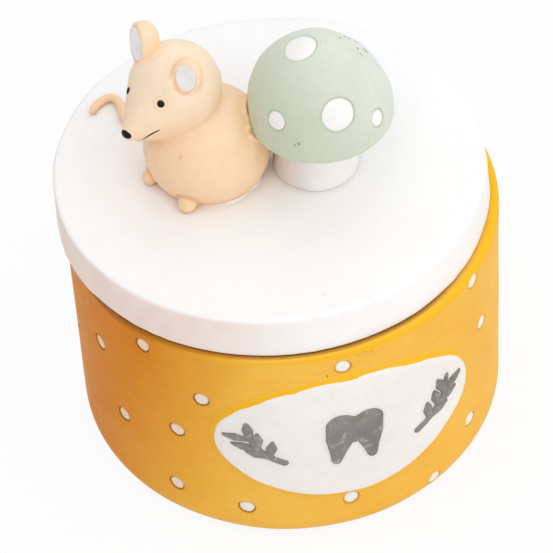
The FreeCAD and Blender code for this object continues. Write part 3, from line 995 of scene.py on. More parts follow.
@dataclass
class Medallion(Assembly):
    """Oval plaque on the pot's front: a mustard bed, a white face, and a grey tooth between two sprigs."""

    pot: Pot
    tilt: float = -1.5
    # Each ring: beyond the oval, lift above the wall, and below zero the painted gold halo of shade and
    # reflected light
    bed_rings: tuple[Triple, ...] = (
        (1.12, -0.12, 0.0), (0.98, 0.02, -0.08), (0.85, 0.07, -0.25), (0.64, 0.14, -0.5), (0.42, 0.27, -0.8),
        (0.2, 0.5, -0.8), (0.05, 0.68, -0.6), (-0.2, 0.76, -0.2), (-0.8, 0.78, 0.0),
    )
    edge_rings: tuple[Pair, ...] = (
        (-0.7, 0.86), (-0.4, 0.85), (-0.2, 0.83), (-0.06, 0.79), (0.05, 0.72), (0.13, 0.62), (0.2, 0.45),
    )
    face_lift: float = 0.86
    face_rings: int = 22
    spokes: int = 200
    face_uneven: Unevenness = Unevenness(0.03, 5.0, 11)
    edge_unsteady: Unevenness = Unevenness(0.05, 8.0, 17)
    relief_height: float = 0.42
    relief_round: float = 0.42
    relief_step: float = 0.11
    relief_fillet: float = 0.3
    relief_margin: float = 1.2
    relief_skirt: float = 0.3
    relief_dip: float = 0.9
    tooth_side: tuple[Pair, ...] = ((2.0, 3.0), (2.1, 0.6), (2.5, -2.6), (2.7, -4.5))
    tooth_side_half_widths: tuple[float, ...] = (2.3, 2.2, 1.2, 0.75)
    tooth_middle: tuple[Pair, ...] = ((0.0, 2.4), (0.0, 1.0))
    tooth_middle_half_widths: tuple[float, ...] = (2.2, 1.9)
    twig_half_widths: Pair = (0.52, 0.3)
    twig_points: int = 7
    sprig_length: float = 9.5
    sprig_middle: float = 12.6
    sprig_tilt: float = 58.0
    sprig_bow: float = 1.5
    leaf_length: float = 3.4
    leaf_half_widths: tuple[float, ...] = (0.28, 0.74, 0.2)
    leaf_route: tuple[float, ...] = (0.0, 0.58, 1.0)
    leaf_angle: float = 38.0
    leaf_fan: float = 7.0
    leaf_shares: tuple[float, ...] = (0.22, 0.46, 0.70)

    @cached_property
    def box(self) -> tuple[Array, Array]:
        """Box of the plaque's solid."""
        return node_box("medallion")

    def on_wall(self, places: Array, lift: Array | float) -> Array:
        """Points on the pot's front.

        Args:
            places: Along the medallion and across it from its middle, as seen from the front.
            lift: Height above the wall.

        Returns:
            The points.
        """
        radius = self.pot.ground.radius
        lean = math.radians(self.tilt)
        places = places @ np.array([[math.cos(lean), math.sin(lean)], [-math.sin(lean), math.cos(lean)]])
        turn = np.arcsin(np.clip(places[:, 0] / radius, -1, 1))
        reach = radius + np.broadcast_to(lift, turn.shape)
        middle = (self.box[0][2] + self.box[1][2]) / 2
        points = np.stack([reach * np.sin(turn), -reach * np.cos(turn), middle + places[:, 1]], -1)
        out = np.stack([np.sin(turn), -np.cos(turn), 0 * turn], -1)
        return points + out * self.pot.uneven.at(points)[:, None]

    def outline(self, beyond: float) -> Array:
        """Oval of the plaque, carried outwards by a distance."""
        angles = full_turn(self.spokes)
        halves = np.array([self.box[1][0] - self.box[0][0], self.box[1][2] - self.box[0][2]]) / 2
        way = np.stack([np.cos(angles), np.sin(angles)], -1)
        return way * halves + unit(way / halves) * beyond

    def bed(self) -> Skin:
        """Soft shoulder between the wall and the white face, with a painted gold halo of shade and reflected
        light in its fillet.
        """
        rows = [self.on_wall(self.outline(beyond), lift) for beyond, lift, _ in self.bed_rings]
        wash_shade_light = np.repeat([wash_shade_light for *_, wash_shade_light in self.bed_rings], self.spokes)
        return Skin(np.concatenate(rows), loop_faces(len(rows), self.spokes), wash_shade_light)

    def face(self) -> Skin:
        """White face with an unsteady painted edge."""
        first = self.edge_rings[0]
        rows = []
        for share in np.linspace(0, 1, self.face_rings, endpoint=False):
            places = self.outline(first[0]) * share
            rows.append(self.on_wall(places, self.face_lift))
        for beyond, lift in self.edge_rings:
            outline = self.outline(beyond)
            wander = self.edge_unsteady.at(np.c_[outline, 0 * outline[:, 0]])
            rows.append(self.on_wall(outline + unit(outline) * wander[:, None], lift))
        points = np.concatenate(rows)
        out = unit(points * [1, 1, 0])
        points = points + out * self.face_uneven.at(points)[:, None]
        return Skin.plain(points, loop_faces(len(rows), self.spokes))

    def tooth(self) -> list[Stroke]:
        """Plain tooth with two cusps and two roots."""
        strokes = []
        for side in (Side.LEFT, Side.RIGHT):
            points = tuple((across * side.value, up) for across, up in self.tooth_side)
            strokes.append(Stroke(points, self.tooth_side_half_widths))
        strokes.append(Stroke(self.tooth_middle, self.tooth_middle_half_widths))
        return strokes

    def sprig(self, side: Side) -> list[Stroke]:
        """Leafy twig on one side of the tooth."""
        tilt = math.radians(self.sprig_tilt)
        along = np.array([math.cos(tilt) * side.value, math.sin(tilt)])
        across = np.array([-along[1], along[0]])
        out = np.array([math.sin(tilt) * side.value, -math.cos(tilt)])
        root = np.array([self.sprig_middle * side.value, 0]) - along * self.sprig_length / 2

        def twig(share: float) -> Array:
            """Point of the bowed twig."""
            return root + along * self.sprig_length * share + out * self.sprig_bow * 4 * share * (1 - share)

        shares = np.linspace(0, 1, self.twig_points)
        half_widths = tuple(np.interp(shares, (0, 1), self.twig_half_widths))
        strokes = [Stroke(tuple(tuple(twig(share)) for share in shares), half_widths)]
        for number, share in enumerate(self.leaf_shares):
            foot = twig(share)
            for turn in (self.leaf_angle, -self.leaf_angle):
                angle = math.radians(turn + self.leaf_fan * number)
                way = (along * math.cos(angle) + across * math.sin(angle)) * self.leaf_length
                route = tuple(tuple(foot + way * part) for part in self.leaf_route)
                strokes.append(Stroke(route, self.leaf_half_widths))
        return strokes

    def relief(self, strokes: Sequence[Stroke], node: str) -> Skin:
        """Raised strokes that come up out of the white face.

        Args:
            strokes: What is raised.
            node: Solid whose box bounds the relief.

        Returns:
            A sheet that dips under the face beyond the strokes.
        """
        low, high = node_box(node)
        middle = (self.box[0][2] + self.box[1][2]) / 2
        margin = self.relief_margin
        across = np.arange(low[0] - margin, high[0] + margin, self.relief_step)
        upwards = np.arange(low[2] - middle - margin, high[2] - middle + margin, self.relief_step)
        places = np.stack(np.meshgrid(across, upwards), -1)
        flat = places.reshape(-1, 2)
        gap = strokes[0].distance(flat)
        for stroke in strokes[1:]:
            gap = merge(gap, stroke.distance(flat), self.relief_fillet)
        depth = np.clip(-gap / self.relief_round, 0, 1)
        raised = self.relief_height * np.sqrt(1 - (1 - depth) ** 2)
        rise = np.where(gap < 0, raised, -self.relief_dip * gap)
        points = self.on_wall(flat, self.face_lift + rise)
        out = unit(points * [1, 1, 0])
        points = points + out * self.face_uneven.at(points)[:, None]
        kept = (gap < self.relief_skirt).reshape(places.shape[:2])
        kept = kept[:-1, :-1] | kept[1:, :-1] | kept[:-1, 1:] | kept[1:, 1:]
        faces = np.array(loop_faces(*places.shape[:2], closed=False))[kept.ravel()]
        used, numbers = np.unique(faces, return_inverse=True)
        return Skin.plain(points[used], face_list(numbers.reshape(-1, 4)))

    def build(self) -> Iterator[Piece]:
        """Make the bed, the face and the three reliefs."""
        yield Piece("medallion_bed", self.bed(), Rider.POT, MUSTARD)
        yield Piece("medallion_face", self.face(), Rider.POT, MEDALLION_WHITE, ("medallion",))
        tooth = self.relief(self.tooth(), "medallion_tooth")
        yield Piece("tooth_relief", tooth, Rider.POT, RELIEF_GREY, ("medallion_tooth",))
        for side, node in ((Side.RIGHT, "left_sprig"), (Side.LEFT, "right_sprig")):
            sprig = self.relief(self.sprig(side), node)
            yield Piece(f"{node}_relief", sprig, Rider.POT, RELIEF_GREY, (node,))


@dataclass
class Lid(Assembly):
    """Loose white lid with a small round edge, and the boss under it."""

    edge_round: float = 0.5
    # Painted reflection: warm light on the lid's left side, on faces that don't look up, mottled
    side_painted_light: float = 0.9
    side_mottle: Unevenness = Unevenness(0.11, 5.0, 61)
    painted_light_left: Pair = (0.05, 0.75)
    painted_light_facing: Pair = (0.2, 0.8)
    boss_round: float = 0.8
    seat_gap: float = 0.03
    seat_facing: Pair = (-0.9, -0.4)
    uneven_from: Pair = (0.55, 0.97)
    lean: Triple = (-0.08, 0.62, 0.0)
    draft: Pair = (0.25, 0.58)
    step: float = 0.5
    columns: int = 400
    uneven: Unevenness = Unevenness(0.08, 17.0, 23)
    rough: Unevenness = Unevenness(0.034, 3.0, 29, 14)

    def disc(self, node: str, top_round: float, bottom_round: float, lean: float = 0.0) -> Skin:
        """Round slab with rounded edges in the place of a solid.

        Args:
            node: The solid.
            top_round: Rounding of the top edge.
            bottom_round: Rounding of the bottom edge.
            lean: Share of the cast lid's lean and draft.

        Returns:
            The slab.
        """
        low, high = node_box(node)
        radius = (high[0] - low[0]) / 2
        profile = rounded_line([
            (0, low[2], 0), (radius, low[2], bottom_round), (radius, high[2], top_round), (0, high[2], 0),
        ], self.step)
        skin = turned(profile, self.columns)
        normals = turned_normals(profile, self.columns)
        climb = lean * (skin.points[:, 2:] - low[2]) / (high[2] - low[2])
        points = skin.points + [*((low + high) / 2)[:2], 0] + np.array(LID_NUDGE) + climb * self.lean
        points[:, :2] -= skin.points[:, :2] * climb * self.draft / radius
        out = np.hypot(*skin.points[:, :2].T) / radius
        sides = ease(out, *self.uneven_from) * ease(normals[:, 2], *self.seat_facing)
        rise = (self.uneven.at(points) + self.rough.at(points)) * sides
        points[:, 2] += self.seat_gap * (normals[:, 2] < self.seat_facing[0])
        # Warm painted reflection on the left side
        leftward = ease(-points[:, 0] / radius, *self.painted_light_left) * (1 + self.side_mottle.at(points))
        wash_shade_light = -self.side_painted_light * leftward * (1 - ease(normals[:, 2], *self.painted_light_facing))
        return Skin(points + normals * rise[:, None], skin.faces, wash_shade_light)

    def build(self) -> Iterator[Piece]:
        """Make the lid and its boss."""
        disc = self.disc("lid", self.edge_round, self.edge_round / 2, 1.0)
        yield Piece("lid_disc", disc, Rider.LID, LID_WHITE, ("lid",))
        boss = self.disc("lid_plug", self.boss_round / 2, self.boss_round)
        yield Piece("lid_boss", boss, Rider.PLUG, LID_WHITE, ("lid_plug",))


@dataclass
class CapDome(Ground):
    """Dome of the mushroom's cap, a little fuller on the shoulder towards the mouse."""

    centre: Array
    radius: float
    rise: float
    lean: float
    lean_azimuth: float
    shoulder: float
    shoulder_way: Triple
    lip: float
    uneven: Unevenness
    shoulder_facing: Pair = (0.35, 1.0)
    shoulder_height: Pair = (0.0, 0.45)

    @cached_property
    def turn(self) -> Array:
        """Rotation from the cap's own axes to the frame."""
        azimuth = math.radians(self.lean_azimuth)
        axis = Vector((-math.sin(azimuth), math.cos(azimuth), 0))
        return np.array(Matrix.Rotation(math.radians(self.lean), 3, axis))

    def field(self, points: Array) -> Array:
        """Near distance from the dome at each point."""
        local = (points - self.centre) @ self.turn
        near = ellipsoid(local, (0, 0, 0), (self.radius, self.radius, self.rise))
        facing = unit(local) @ unit(np.array(self.shoulder_way))
        high = ease(local[:, 2] / self.rise, *self.shoulder_height)
        fuller = self.shoulder * ease(facing, *self.shoulder_facing) * high
        return near - fuller - self.uneven.at(points)

    def solid(self, points: Array) -> Array:
        """Near distance from the whole cap, with its flat underside."""
        local = (points - self.centre) @ self.turn
        return carve(self.field(points), self.lip + local[:, 2], self.lip)


@dataclass
class Mushroom(Assembly):
    """Thick white stem under a sage cap with white spots."""

    lid_top: float = field(default_factory=lambda: node_box("lid")[1][2])
    stem_radius: float = 6.45
    stem_waist: float = 0.35
    stem_round: float = 0.4
    # Painted shade on the stem's side towards the mouse
    stem_side_shade: float = 0.4
    stem_shade_way: Triple = (-0.98, -0.2, 0.0)
    stem_shade_facing: Pair = (0.45, 1.0)
    stem_reach: float = 0.25
    stem_rows: int = 48
    cap_radius: float = 10.7
    cap_rise: float = 12.12
    cap_lip: float = 1.25
    cap_rows: int = 70
    lip_round_share: float = 0.98
    cap_middle: Pair = (6.58, -0.95)
    cap_height: float = 10.98
    cap_lean: float = 1.5
    cap_lean_azimuth: float = 138.0
    cap_shoulder: float = 1.05
    shoulder_way: Triple = (-0.44, -0.08, 0.895)
    # Wash and painted shade round the spots, fainter towards the lit top
    spot_groove_shades: Pair = (0.6, 0.3)
    spot_shade_heights: Pair = (0.2, 0.8)
    chips: tuple[tuple[float, float, float, float], ...] = (
        (-125.0, 15.1, 0.27, 0.26), (-128.3, 13.3, 0.15, 0.28), (21.8, 71.6, 0.24, 0.2),
        (27.2, 63.6, 0.2, 0.3), (23.4, 60.3, 0.3, 0.22), (18.1, 55.7, 0.42, 0.24),
        (-0.8, 60.4, 0.3, 0.2), (6.3, 50.8, 0.28, 0.36), (3.6, 49.5, 0.25, 0.34),
        (-10.1, 59.0, 0.15, 0.15), (-11.6, 57.2, 0.14, 0.17),
    )
    uneven: Unevenness = Unevenness(0.06, 9.0, 31)
    step: float = 0.3
    columns: int = 240

    @cached_property
    def dome(self) -> CapDome:
        """Outside of the cap as a ground."""
        centre = np.array([*self.cap_middle, self.lid_top + self.cap_height])
        return CapDome(
            centre, self.cap_radius, self.cap_rise, self.cap_lean, self.cap_lean_azimuth,
            self.cap_shoulder, self.shoulder_way, self.cap_lip, self.uneven,
        )

    def cap(self, pockets: Sequence[Inlay]) -> Skin:
        """Cap with a flat underside, a round lip and a dome that dips at its spots."""
        arc = np.linspace(0, math.pi / 2, self.cap_rows)
        dome = np.stack([self.cap_radius * np.cos(arc), self.cap_rise * np.sin(arc)], -1)
        brim = rounded_line([
            (0, -self.cap_lip, 0),
            (self.cap_radius, -self.cap_lip, self.cap_lip * self.lip_round_share),
            (self.cap_radius, 0, 0),
        ], self.step)
        profile = np.concatenate([brim[:-1], dome])
        profile[-1, 0] = 0
        skin = turned(profile, self.columns)
        upper = skin.points[:, 2] > -self.step
        points = skin.points @ self.dome.turn.T + self.dome.centre
        normals = turned_normals(profile, self.columns) @ self.dome.turn.T
        weight = ease(skin.points[:, 2], -self.cap_lip, 0)[:, None]
        settled = self.dome.settle(points[upper])
        points[upper] += (settled - points[upper]) * weight[upper]
        return skin.moved(sink_pockets(points, normals, pockets))

    def stem(self) -> Skin:
        """Stem that is drawn in at its middle and reaches into the cap's underside."""
        low, high = node_box("mushroom_stem")
        top = self.cap_height - self.cap_lip + self.stem_reach
        heights = top * np.linspace(0, 1, self.stem_rows) ** 1.5
        bow = 1 - (2 * heights / top - 1) ** 2
        low_share = 1 - np.clip(heights / self.stem_round, 0, 1)
        drawn_in = self.stem_waist * bow + self.stem_round * (1 - np.sqrt(1 - 0.97 * low_share**2))
        profile = np.stack([self.stem_radius - drawn_in, heights], -1)
        profile = np.concatenate([[[0, 0]], profile, [[0, top]]])
        skin = turned(profile, self.columns)
        points = skin.points + [*((low + high) / 2)[:2], self.lid_top]
        out = unit(skin.points * [1, 1, 0])
        wash_shade_light = self.stem_side_shade * ease(out @ np.array(self.stem_shade_way), *self.stem_shade_facing)
        return Skin(points + out * self.uneven.at(points)[:, None], skin.faces, wash_shade_light)

    def worn_places(self) -> Skin:
        """Chips in the cap's paint, placed by their azimuth and elevation seen from the dome's centre."""
        patches = []
        for seed, (azimuth, elevation, half_width, half_height) in enumerate(self.chips):
            turn, rise = math.radians(azimuth), math.radians(elevation)
            way = np.array([math.cos(turn) * math.cos(rise), math.sin(turn) * math.cos(rise), math.sin(rise)])
            centre = self.dome.centre + way * self.cap_rise
            patches.append(chip(self.dome, centre, half_width, half_height, seed))
        return Skin.joined(patches)

    def spot_groove_shade(self, pocket: Inlay) -> float:
        """Wash and painted shade round a spot, fainter towards the lit top of the cap."""
        height = (pocket.centre[2] - self.dome.centre[2]) / self.cap_rise
        return float(np.interp(height, self.spot_shade_heights, self.spot_groove_shades))

    def build(self) -> Iterator[Piece]:
        """Make the stem, the cap, the lips of its pockets and the spots in them."""
        pockets = pocket_inlays("mushroom_spots", self.dome)
        yield Piece("stem_turned", self.stem(), Rider.LID, STEM_WHITE, ("mushroom_stem",))
        yield Piece("cap_shell", self.cap(pockets), Rider.LID, SAGE, ("mushroom_cap",))
        lips = Skin.joined([pocket.skin(self.dome, pocket_lip(self.spot_groove_shade(pocket))) for pocket in pockets])
        yield Piece("spot_lips", lips, Rider.LID, SAGE)
        spots = Skin.joined([pocket.skin(self.dome, POCKET_PAINT) for pocket in pockets])
        yield Piece("spot_paint", spots, Rider.LID, SPOT_WHITE, ("mushroom_spots",))
        yield Piece("cap_chips", self.worn_places(), Rider.LID, CHIP_GREY)


@dataclass
class MouseForm(Ground):
    """Sculpted mouse that looks along its own +X, with its seat at the origin."""

    seat: Array
    azimuth: float
    cap: CapDome
    body_middle: Triple = (-0.24, 0.23, 5.07)
    body_radii: Triple = (9.45, 9.45, 9.1)
    skull: Triple = (2.34, -2.88, 16.49)
    skull_radius: float = 6.87
    muzzle: Triple = (11.82, -2.09, 14.55)
    muzzle_radius: float = 1.35
    cheek: Triple = (2.9, -2.88, 13.77)
    cheek_radius: float = 5.5
    chin: Triple = (10.2, -2.2, 13.07)
    chin_radius: float = 1.2
    ear_middles: dict[Side, Triple] = field(default_factory=lambda: {
        Side.LEFT: (3.44, 1.52, 22.33), Side.RIGHT: (4.77, -7.22, 23.87),
    })
    ear_turns: dict[Side, float] = field(default_factory=lambda: {Side.LEFT: 29.0, Side.RIGHT: -19.0})
    ear_lean: float = 8.0
    ear_radii: dict[Side, Triple] = field(default_factory=lambda: {
        Side.LEFT: (2.3, 2.2, 2.95), Side.RIGHT: (2.2, 2.45, 3.55),
    })
    ear_middle_lengths: dict[Side, float] = field(default_factory=lambda: {Side.LEFT: 0.0, Side.RIGHT: 0.8})
    ear_faces: dict[Side, float] = field(default_factory=lambda: {Side.LEFT: 0.9, Side.RIGHT: 0.6})
    dish_shares: dict[Side, float] = field(default_factory=lambda: {Side.LEFT: 0.84, Side.RIGHT: 0.92})
    dish_depths: dict[Side, float] = field(default_factory=lambda: {Side.LEFT: 0.25, Side.RIGHT: 0.4})
    feet: tuple[tuple[float, ...], ...] = ((7.81, 4.31, 1.32, 1.75, 1.7), (7.81, -3.82, 1.15, 1.5, 2.4))
    nick: Triple = (7.45, 3.02, 9.75)
    nick_radii: Triple = (0.28, 0.24, 0.5)
    foot_sink: float = 0.25
    heel_share: float = 0.86
    foot_fillet: float = 0.4
    nick_edge: float = 0.12
    jaw_fillet: float = 1.2
    neck_fillet: float = 0.6
    ear_edge: float = 0.5
    ear_fillet: float = 0.7
    dish_stand: float = 0.4
    dish_edge: float = 0.3
    seat_depth: float = 0.02
    seam_middle: float = 0.25
    seam_height: float = 0.45
    seam_reach: float = 0.5
    seam_depth: float = 0.15
    seam_uneven: Unevenness = Unevenness(0.55, 1.8, 41)

    @cached_property
    def turn(self) -> Array:
        """Rotation from the mouse's own axes to the frame."""
        return np.array(Matrix.Rotation(math.radians(self.azimuth), 3, "Z"))

    def seated(self, points: Array) -> Array:
        """Points of the mouse carried to its place on the lid."""
        return points @ self.turn.T + self.seat

    def ear_turn(self, side: Side) -> Array:
        """Rotation from an ear's own axes, with +X out of its dish, to the mouse's."""
        swing = Matrix.Rotation(math.radians(self.ear_turns[side]), 3, "Z")
        return np.array(swing @ Matrix.Rotation(math.radians(-self.ear_lean), 3, "Y"))

    def ear_dish(self, side: Side, points: Array) -> Array:
        """Near distance from the hollow of an ear."""
        local = (points - np.array(self.ear_middles[side])) @ self.ear_turn(side)
        halves = np.array(self.ear_radii[side][1:]) * self.dish_shares[side]
        middle = (self.ear_faces[side] + self.dish_stand, 0, 0)
        return ellipsoid(local, middle, (self.dish_stand + self.dish_depths[side], *halves))

    def ear(self, side: Side, points: Array) -> Array:
        """Near distance from an ear without its hollow."""
        local = (points - np.array(self.ear_middles[side])) @ self.ear_turn(side)
        straight = np.c_[np.clip(local[:, 0], -self.ear_middle_lengths[side], 0), 0 * local[:, 1:]]
        whole = ellipsoid(local - straight, (0, 0, 0), self.ear_radii[side])
        return carve(whole, self.ear_faces[side] - local[:, 0], self.ear_edge)

    def body(self, points: Array) -> Array:
        """Near distance from the round body."""
        return ellipsoid(points, self.body_middle, self.body_radii)

    def foot(self, number: int, points: Array) -> Array:
        """Near distance from one of the feet."""
        x, y, toe, heel, height = self.feet[number]
        ankle = (x * self.heel_share, y * self.heel_share, height)
        return round_cone(points, (x, y, toe - self.foot_sink), ankle, (toe, heel))

    def beside(self, points: Array) -> Array:
        """Near distance from the mushroom's cap."""
        return self.cap.solid(self.seated(points))

    def field(self, points: Array) -> Array:
        """Near distance from the mouse at each point of its own axes."""
        form = self.body(points)
        for number in range(len(self.feet)):
            form = merge(form, self.foot(number, points), self.foot_fillet)
        form = carve(form, ellipsoid(points, self.nick, self.nick_radii), self.nick_edge)
        head = round_cone(points, self.skull, self.muzzle, (self.skull_radius, self.muzzle_radius))
        jaw = round_cone(points, self.cheek, self.chin, (self.cheek_radius, self.chin_radius))
        head = merge(head, jaw, self.jaw_fillet)
        for side in Side:
            head = merge(head, self.ear(side, points), self.ear_fillet)
            head = carve(head, self.ear_dish(side, points), self.dish_edge)
        form = merge(form, head, self.neck_fillet)
        beside = self.beside(points)
        near = np.exp(-((beside - self.seam_middle) / self.seam_reach) ** 2)
        bead = self.seam_height * near * (1 + self.seam_uneven.at(points))
        form = np.maximum(form - bead, -self.seam_depth - beside)
        return np.maximum(form, -self.seat_depth - points[:, 2])


# Rings of what is painted on the mouse
EYE_BEAD = (
    Ring(0.0, 0.0, 0.2), Ring(0.35, 0.0, 0.19), Ring(0.65, 0.0, 0.14), Ring(0.85, 0.0, 0.07),
    Ring(1.0, 0.0, -0.06),
)
# The eye rim's last numbers are wash and painted shade in the dip round the eye
EYE_RIM = (
    Ring(1.0, -0.05, -0.04), Ring(1.0, 0.1, 0.0, 0.1), Ring(1.0, 0.22, 0.045), Ring(1.0, 0.34, 0.05),
    Ring(1.0, 0.44, 0.03, 0.25), Ring(1.0, 0.52, 0.0, 0.5), Ring(1.0, 0.62, -0.03, 0.2),
)
NOSE_PATCH = (
    Ring(0.0, 0.0, 0.14), Ring(0.4, 0.0, 0.13), Ring(0.7, 0.0, 0.09), Ring(0.9, 0.0, 0.04),
    Ring(1.0, 0.0, -0.05),
)
EAR_LINING = (
    *[Ring(share, 0.0, 0.04) for share in (0.0, 0.25, 0.5, 0.75, 0.92)], Ring(1.0, 0.0, -0.06),
)


@dataclass
class Mouse(Assembly):
    """Peach mouse with its eyes, nose, mouth, ear linings and tail."""

    mushroom: Mushroom
    seat: Pair = (-10.1, 4.007)
    azimuth: float = 205.9
    cell: float = 0.24
    low_corner: Triple = (-10.5, -12.0, -0.6)
    high_corner: Triple = (14.5, 10.5, 28.0)
    eye_radius: float = 0.6
    eyes: dict[Side, Triple] = field(default_factory=lambda: {
        Side.LEFT: (7.96, 0.5, 19.10), Side.RIGHT: (8.74, -5.77, 18.12),
    })
    # Painted shade and light on the mouse: a dark line where it meets the cap with painted light beyond,
    # painted light on the ears, painted shade round the ears' dishes and where the feet meet the body
    seam_wash_and_shade: float = 0.5
    seam_shade_reach: Pair = (0.05, 0.3)
    seam_painted_light: float = 0.9
    seam_painted_light_reach: Pair = (0.3, 3.2)
    ear_dish_shade: float = 0.45
    ear_dish_shade_reach: Pair = (0.04, 0.28)
    ear_painted_light: float = 0.65
    ear_painted_light_reach: Pair = (0.0, 0.6)
    foot_crease_shade: float = 0.6
    foot_crease_shade_reach: Pair = (0.1, 0.6)
    painted_light_under_shade: Pair = (0.0, 0.3)
    bead_rings: tuple[Pair, ...] = (
        (0.8, -0.1), (0.66, 0.06), (0.5, 0.2), (0.3, 0.34), (0.1, 0.44), (-0.15, 0.5),
    )
    bead_arc: Pair = (30.0, 150.0)
    bead_size: float = 0.55
    bead_spokes: int = 90
    bead_uneven: Unevenness = Unevenness(0.2, 5.0, 53)
    nose_half_width: float = 1.4
    nose_half_height: float = 0.76
    nose: Triple = (13.0, -1.95, 14.83)
    mouth: tuple[Triple, ...] = ((11.14, -0.72, 13.24), (10.22, 0.31, 14.36), (8.98, 1.14, 15.11))
    mouth_rows: tuple[Pair, ...] = ((-1.0, -0.03), (-0.5, 0.03), (0.0, 0.045), (0.5, 0.03), (1.0, -0.03))
    mouth_steps: int = 40
    mouth_half_width: float = 0.26
    lining_halves: dict[Side, Pair] = field(default_factory=lambda: {
        Side.LEFT: (1.6, 2.4), Side.RIGHT: (2.22, 2.86),
    })
    body_radius: float = 9.3
    tail_shares: tuple[Triple, ...] = (
        (-0.55, -0.18, 0.30), (-0.90, -0.42, 0.12), (-0.61, -0.88, 0.0), (-0.08, -1.27, 0.0),
        (0.20, -1.66, 0.0), (0.09, -1.93, 0.0), (0.02, -2.13, 0.0), (0.07, -2.26, 0.0),
        (0.28, -2.29, 0.0), (0.51, -2.21, 0.0),
    )
    tail_radii: Pair = (0.85, 0.6)
    tail_root: float = 0.9
    tail_root_share: float = 0.16
    tail_tip_share: float = 0.045
    tail_rest_share: float = 0.8
    tail_sides: int = 20
    tail_rows: int = 120

    @cached_property
    def form(self) -> MouseForm:
        """The sculpted mouse as a ground."""
        return MouseForm(np.array([*self.seat, self.mushroom.lid_top]), self.azimuth, self.mushroom.dome)

    def seated(self, skin: Skin) -> Skin:
        """Skin carried to the mouse's place on the lid."""
        return skin.moved(self.form.seated(skin.points))

    def sculpt(self) -> Skin:
        """Body, head, ears and feet in one."""
        skin = net_of(self.form, np.array(self.low_corner), np.array(self.high_corner), self.cell)
        return Skin(skin.points, skin.faces, self.shade_and_painted_light(skin.points))

    def shade_and_painted_light(self, points: Array) -> Array:
        """Wash and painted shade in the mouse's creases, and below zero painted light on its ears and beside
        the mushroom.
        """
        beside = self.form.beside(points)
        wash_and_shade = self.seam_wash_and_shade * (1 - ease(beside, *self.seam_shade_reach))
        light = self.seam_painted_light * (1 - ease(beside, *self.seam_painted_light_reach))
        for side in Side:
            edge = np.abs(self.form.ear_dish(side, points))
            wash_and_shade = np.maximum(wash_and_shade, self.ear_dish_shade * (1 - ease(edge, *self.ear_dish_shade_reach)))
            near = 1 - ease(self.form.ear(side, points), *self.ear_painted_light_reach)
            light = np.maximum(light, self.ear_painted_light * near)
        for number in range(len(self.form.feet)):
            apart = np.hypot(self.form.foot(number, points), self.form.body(points))
            wash_and_shade = np.maximum(wash_and_shade, self.foot_crease_shade * (1 - ease(apart, *self.foot_crease_shade_reach)))
        return wash_and_shade - light * (1 - ease(wash_and_shade, *self.painted_light_under_shade))

    def seat_bead(self) -> Skin:
        """Uneven bead of the lid's white along the foot of the body."""
        shares = np.linspace(0, 1, self.bead_spokes)
        angles = np.radians(self.bead_arc[0] + (self.bead_arc[1] - self.bead_arc[0]) * shares)
        middle, radii = np.array(self.form.body_middle), np.array(self.form.body_radii)
        way = np.stack([np.cos(angles), np.sin(angles), 0 * angles], -1)
        fade = np.sqrt(np.sin(math.pi * np.clip(shares, 0.01, 0.99)))
        size = (self.bead_size + self.bead_uneven.at(way * radii[0])) * fade
        rows = []
        for out, rise in self.bead_rings:
            height = rise * size
            foot = radii[0] * np.sqrt(1 - ((height - middle[2]) / radii[2]) ** 2)
            level = middle * [1, 1, 0] + way * (foot + out * size)[:, None]
            rows.append(level + np.outer(height, [0, 0, 1]))
        return Skin.plain(np.concatenate(rows), loop_faces(len(rows), self.bead_spokes, closed=False))

    def eye(self, side: Side, rings: Sequence[Ring]) -> Skin:
        """Small black bead of an eye, or the fine raised ring in the paint round it."""
        inlay = Inlay(np.array(self.eyes[side]), self.eye_radius, self.eye_radius, side.value + 5, spokes=32)
        return inlay.skin(self.form, rings)

    def nose_patch(self) -> Skin:
        """Black patch across the end of the snout."""
        inlay = Inlay(np.array(self.nose), self.nose_half_width, self.nose_half_height, 4, spokes=40)
        return inlay.skin(self.form, NOSE_PATCH)

    def lining(self, side: Side) -> Skin:
        """White oval in the dish of an ear."""
        depth = self.form.ear_faces[side] - self.form.dish_depths[side]
        centre = np.array(self.form.ear_middles[side]) + self.form.ear_turn(side)[:, 0] * depth
        inlay = Inlay(centre, *self.lining_halves[side], side.value + 9, spokes=56)
        return inlay.skin(self.form, EAR_LINING)

    def mouth_line(self) -> Skin:
        """Fine painted line along the jaw."""
        route = self.form.settle(self.curve(self.mouth, self.mouth_steps))
        facing = self.form.normals(route)[0]
        across = unit(np.cross(unit(np.gradient(route, axis=0)), facing))
        fade = np.sqrt(np.sin(np.linspace(0.05, math.pi - 0.05, len(route))))
        width = self.mouth_half_width * fade[:, None]
        rows = [self.form.settle(route + across * width * share, lift) for share, lift in self.mouth_rows]
        return Skin.plain(np.concatenate(rows), loop_faces(len(rows), len(route), closed=False))

    @staticmethod
    def curve(points: Sequence[Sequence[float]], count: int) -> Array:
        """Smooth line through points.

        Args:
            points: Where the line passes.
            count: Number of places on it.

        Returns:
            The places, from the first point to the last.
        """
        knots = np.asarray(points, float)
        knots = np.concatenate([[2 * knots[0] - knots[1]], knots, [2 * knots[-1] - knots[-2]]])
        spans = np.linspace(0, len(knots) - 3, count)
        first = np.minimum(spans.astype(int), len(knots) - 4)
        share = (spans - first)[:, None]
        a, b, c, d = (knots[first + step] for step in range(4))
        bend = 2 * a - 5 * b + 4 * c - d
        twist = 3 * b - a - 3 * c + d
        return 0.5 * (2 * b + (c - a) * share + bend * share**2 + twist * share**3)

